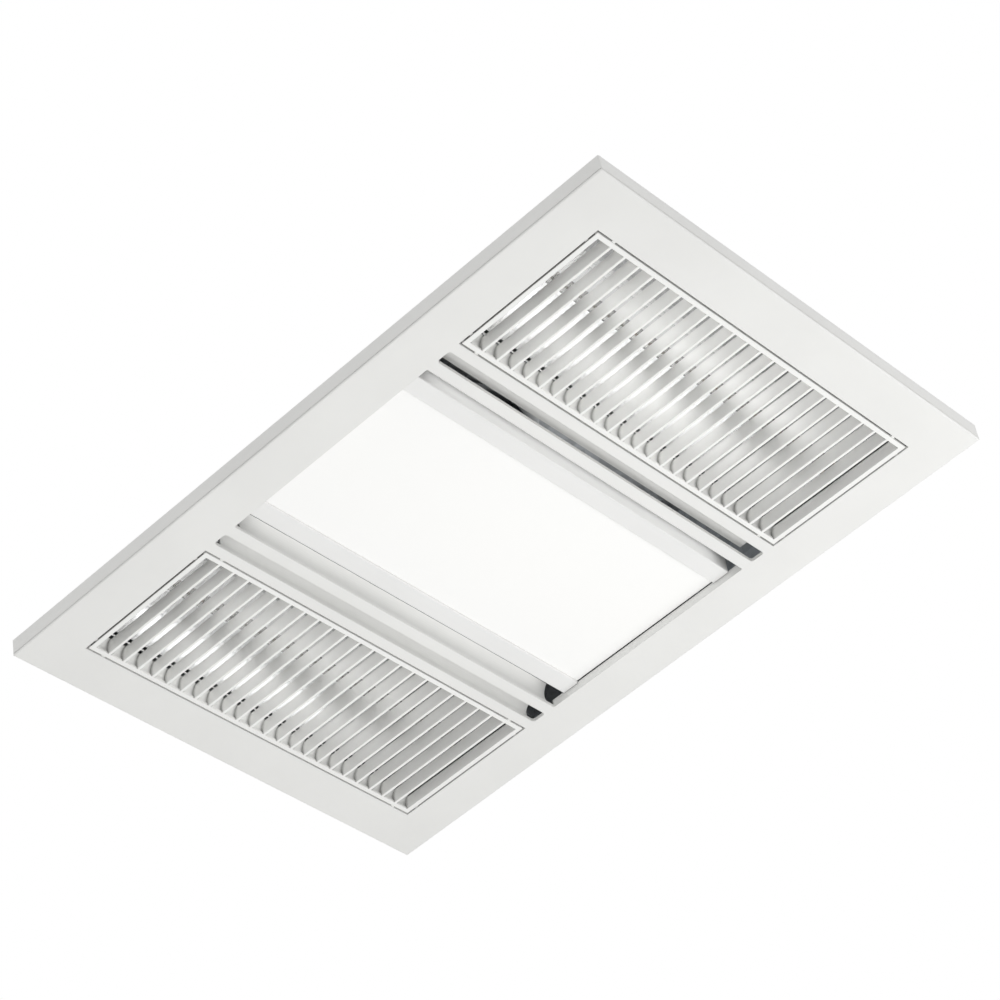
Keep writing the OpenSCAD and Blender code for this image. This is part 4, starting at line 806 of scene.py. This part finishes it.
def ribbedNut(gland):
    # Four sides to a rib: two of its corners stand out and two lie in the valley
    bore, outer = gland["bore"], gland["outer"]
    profile = [(bore, 0.9), (bore + 0.0006, 1.0), (0.8 * outer, 1.0), (0.93 * outer, 0.85),
               (outer, 0.6), (outer, 0), (bore, 0)]
    points, faces = lathe([(r, h * gland["long"]) for r, h in profile], gland["ribs"] * 4, closed=True)
    for k, point in enumerate(points):
        if k % 4 in (0, 1) and point.xy.length > 0.97 * outer:
            point.xy *= gland["valley"]
    return points, faces


onGland = facing(gland["at"], (0, -1, 0))
addPiece("glandNut", repeated(ribbedNut(gland), [onGland]), "gland_nylon", angle=25)
sealProfile = [(0.0032, 0.0002), (0.0032, 0.0036), (0.0036, 0.0041), (0.0048, 0.0041), (0.0053, 0.0050),
               (0.0060, 0.0044), (0.0061, 0.0002)]
addPiece("glandSeal", repeated(lathe(sealProfile, 40, closed=True), [onGland]), "gasket_foam", angle=40)


# Capacitor: a phenolic end with a rolled rim, and two spade tabs that stand on its terminals
capacitor = {
    "at": (-0.1925, -0.126, 0.094),
    "tabShift": 0.00533,
    "tabUp": 0.0074,
    "tabThick": 0.0008,
    "tabWide": 0.0048,
    "tabLong": 0.0075,
    "tabBevel": 0.0003,
}
endProfile = [(0, 0.0005), (0.0126, 0.0005), (0.0131, 0.0014), (0.0138, 0.0017), (0.0150, 0.0015),
              (0.0157, 0.0008), (0.0157, -0.0002), (0, -0.0002)]
onCan = facing(capacitor["at"], (0, -1, 0))
addPiece("capacitorEnd", repeated(lathe(endProfile, 56), [onCan]), "guide_black")
tab = plate(capacitor["tabThick"], capacitor["tabWide"], capacitor["tabLong"], capacitor["tabBevel"])
x, y, z = capacitor["at"]
tabSpots = []
for side in (-1, 1):
    tabSpots.append(facing((x + side * capacitor["tabShift"], y - capacitor["tabUp"], z), (0, -1, 0)))
addPiece("capacitorTabs", repeated(tab, tabSpots), "clip_steel")
print("duct, gland and capacitor details placed")


# The ceiling that the unit is screwed to, and a floor. Neither is part of the unit.
room = {
    "ceilingZ": 0.0006,
    "cutX": 0.2725,
    "cutY": 0.1800,
    "ceilingReach": 7.0,
    "floorZ": -2.4,
    "floorReach": 14.0,
}


def ceilingFinish():
    # White from below, as the background is, and clear from above, so that the housing shows there.
    # Only the camera's own rays meet it, so it neither lights nor shades the unit.
    look = Finish("ceilingWhite")
    rays = look.node("ShaderNodeLightPath", output="Is Camera Ray")
    back = look.node("ShaderNodeNewGeometry", output="Backfacing")
    solid = rays * (1 - back)
    clear = look.node("ShaderNodeBsdfTransparent")
    glow = look.node("ShaderNodeEmission", values={"Color": (1, 1, 1, 1), "Strength": 1.0})
    return look.output(look.node("ShaderNodeMixShader", values={0: solid, 1: clear, 2: glow}))


def floorFinish():
    look = Finish("floorPale")
    cloud = look.noise(0.6, 3.0)
    base = look.mix(cloud.between(0.2, 0.8), paint(239, 239, 238), paint(241, 241, 240))
    return look.surface(baseColor=base, roughness=0.8)


def buildRoom(room):
    def rectangle(x, y, z):
        return [(sx * x, sy * y, z) for sx, sy in cornerSigns]

    edge, far, z = room["ceilingReach"], room["floorReach"], room["ceilingZ"]
    points = rectangle(edge, edge, z) + rectangle(room["cutX"], room["cutY"], z)
    # Wound so that the front of each face looks down
    faces = [(k, 4 + k, 4 + (k + 1) % 4, (k + 1) % 4) for k in range(4)]
    ceiling = addMesh("ceiling", points, faces, ceilingFinish())
    floor = addMesh("floor", rectangle(far, far, room["floorZ"]), [(0, 1, 2, 3)], floorFinish())


buildRoom(room)
print("ceiling and floor placed")


# Soft, even light. The world is white where the camera, gloss or glass sees it. A lamp shows in gloss
# unless it says not to, and a strip only if it says so.
studio = {
    "world": 0.715,
    "lamps": [
        {"name": "nearSoftbox", "from": (0.6, 0.5, -0.5), "size": 0.5, "power": 1.6},
        {"name": "fillSoftbox", "from": (0.05, -0.05, -1.0), "size": 0.25, "power": 2.4, "glossy": False},
        {"name": "topSoftbox", "from": (-0.9, 0.9, 2.0), "size": 1.8, "power": 4.0},
    ],
    # Narrow lamps inside the unit, 0.3 m long unless they say otherwise
    "strips": [
        {"name": "bladeStrip", "at": (-0.1925, -0.05, 0.036), "aim": (0, 0, -1), "width": 0.012,
         "length": 0.22, "power": 0.065},
        {"name": "bladeStrip", "at": (0.1925, -0.04, 0.036), "aim": (0, 0, -1), "width": 0.012,
         "length": 0.24, "power": 0.105},
        {"name": "gapStrip", "at": (-0.0895, 0, 0.006), "aim": (-1, 0, -0.5), "width": 0.005,
         "power": 0.009},
        {"name": "gapStrip", "at": (0.094, 0, -0.001), "aim": (-1, 0, -0.2), "width": 0.006,
         "power": 0.009},
        {"name": "slotStrip", "at": (-0.1085, 0, -0.007), "aim": (-1, 0, 0.4), "width": 0.004,
         "power": 0.0015},
        {"name": "chamberStrip", "at": (0.05, 0.09, 0.03), "aim": (0, 0, 1), "width": 0.04,
         "length": 0.13, "power": 0.035, "glossy": True},
        # These show in the reflectors as the bright patches beside the tubes
        {"name": "shineStrip", "at": (-0.2225, -0.02, 0.009), "aim": (-0.77, 0, 0.64), "width": 0.013,
         "length": 0.19, "power": 0.0045, "spread": 120, "glossy": True},
        {"name": "shineStrip", "at": (0.1755, 0, 0.009), "aim": (-0.67, 0, 0.74), "width": 0.010,
         "length": 0.22, "power": 0.0045, "spread": 120, "glossy": True},
    ],
}


def addLamp(name, place, aim, size, power, length=None):
    light = bpy.data.lights.new(name, "AREA")
    light.shape = "RECTANGLE" if length else "DISK"
    light.size = size
    if length:
        light.size_y = length
    light.energy = power
    made = bpy.data.objects.new(name, light)
    bpy.context.scene.collection.objects.link(made)
    back = (Vector(place) - Vector(aim)).normalized()
    side = Vector((0, 1, 0)).cross(back).normalized()
    turn = Matrix((side, back.cross(side), back)).transposed()
    made.matrix_world = Matrix.Translation(place) @ turn.to_4x4()
    made.visible_camera = False
    return made


def lightStudio(studio):
    world = bpy.data.worlds.new("studio")
    bpy.context.scene.world = world
    look = Finish("studio", world)
    path = {name: look.node("ShaderNodeLightPath", output=name)
            for name in ("Is Camera Ray", "Is Glossy Ray", "Is Transmission Ray")}
    seen = path["Is Camera Ray"] + path["Is Glossy Ray"] + path["Is Transmission Ray"]
    lit = look.node("ShaderNodeBackground", values={"Color": (1, 1, 1, 1), "Strength": studio["world"]})
    shown = look.node("ShaderNodeBackground", values={"Color": (1, 1, 1, 1), "Strength": 1.0})
    both = look.node("ShaderNodeMixShader", values={0: seen > 0.5, 1: lit, 2: shown})
    look.node("ShaderNodeOutputWorld", values={"Surface": both})
    for lamp in studio["lamps"]:
        made = addLamp(lamp["name"], lamp["from"], (0, 0, 0), lamp["size"], lamp["power"])
        made.visible_glossy = lamp.get("glossy", True)
    for strip in studio["strips"]:
        aim = Vector(strip["at"]) + Vector(strip["aim"])
        length = strip.get("length", 0.3)
        made = addLamp(strip["name"], strip["at"], aim, strip["width"], strip["power"], length)
        made.data.spread = math.radians(strip.get("spread", 180))
        made.visible_glossy = strip.get("glossy", False)
        made.visible_transmission = False
    bpy.context.scene.view_settings.view_transform = "Standard"


lightStudio(studio)
print("studio lit")
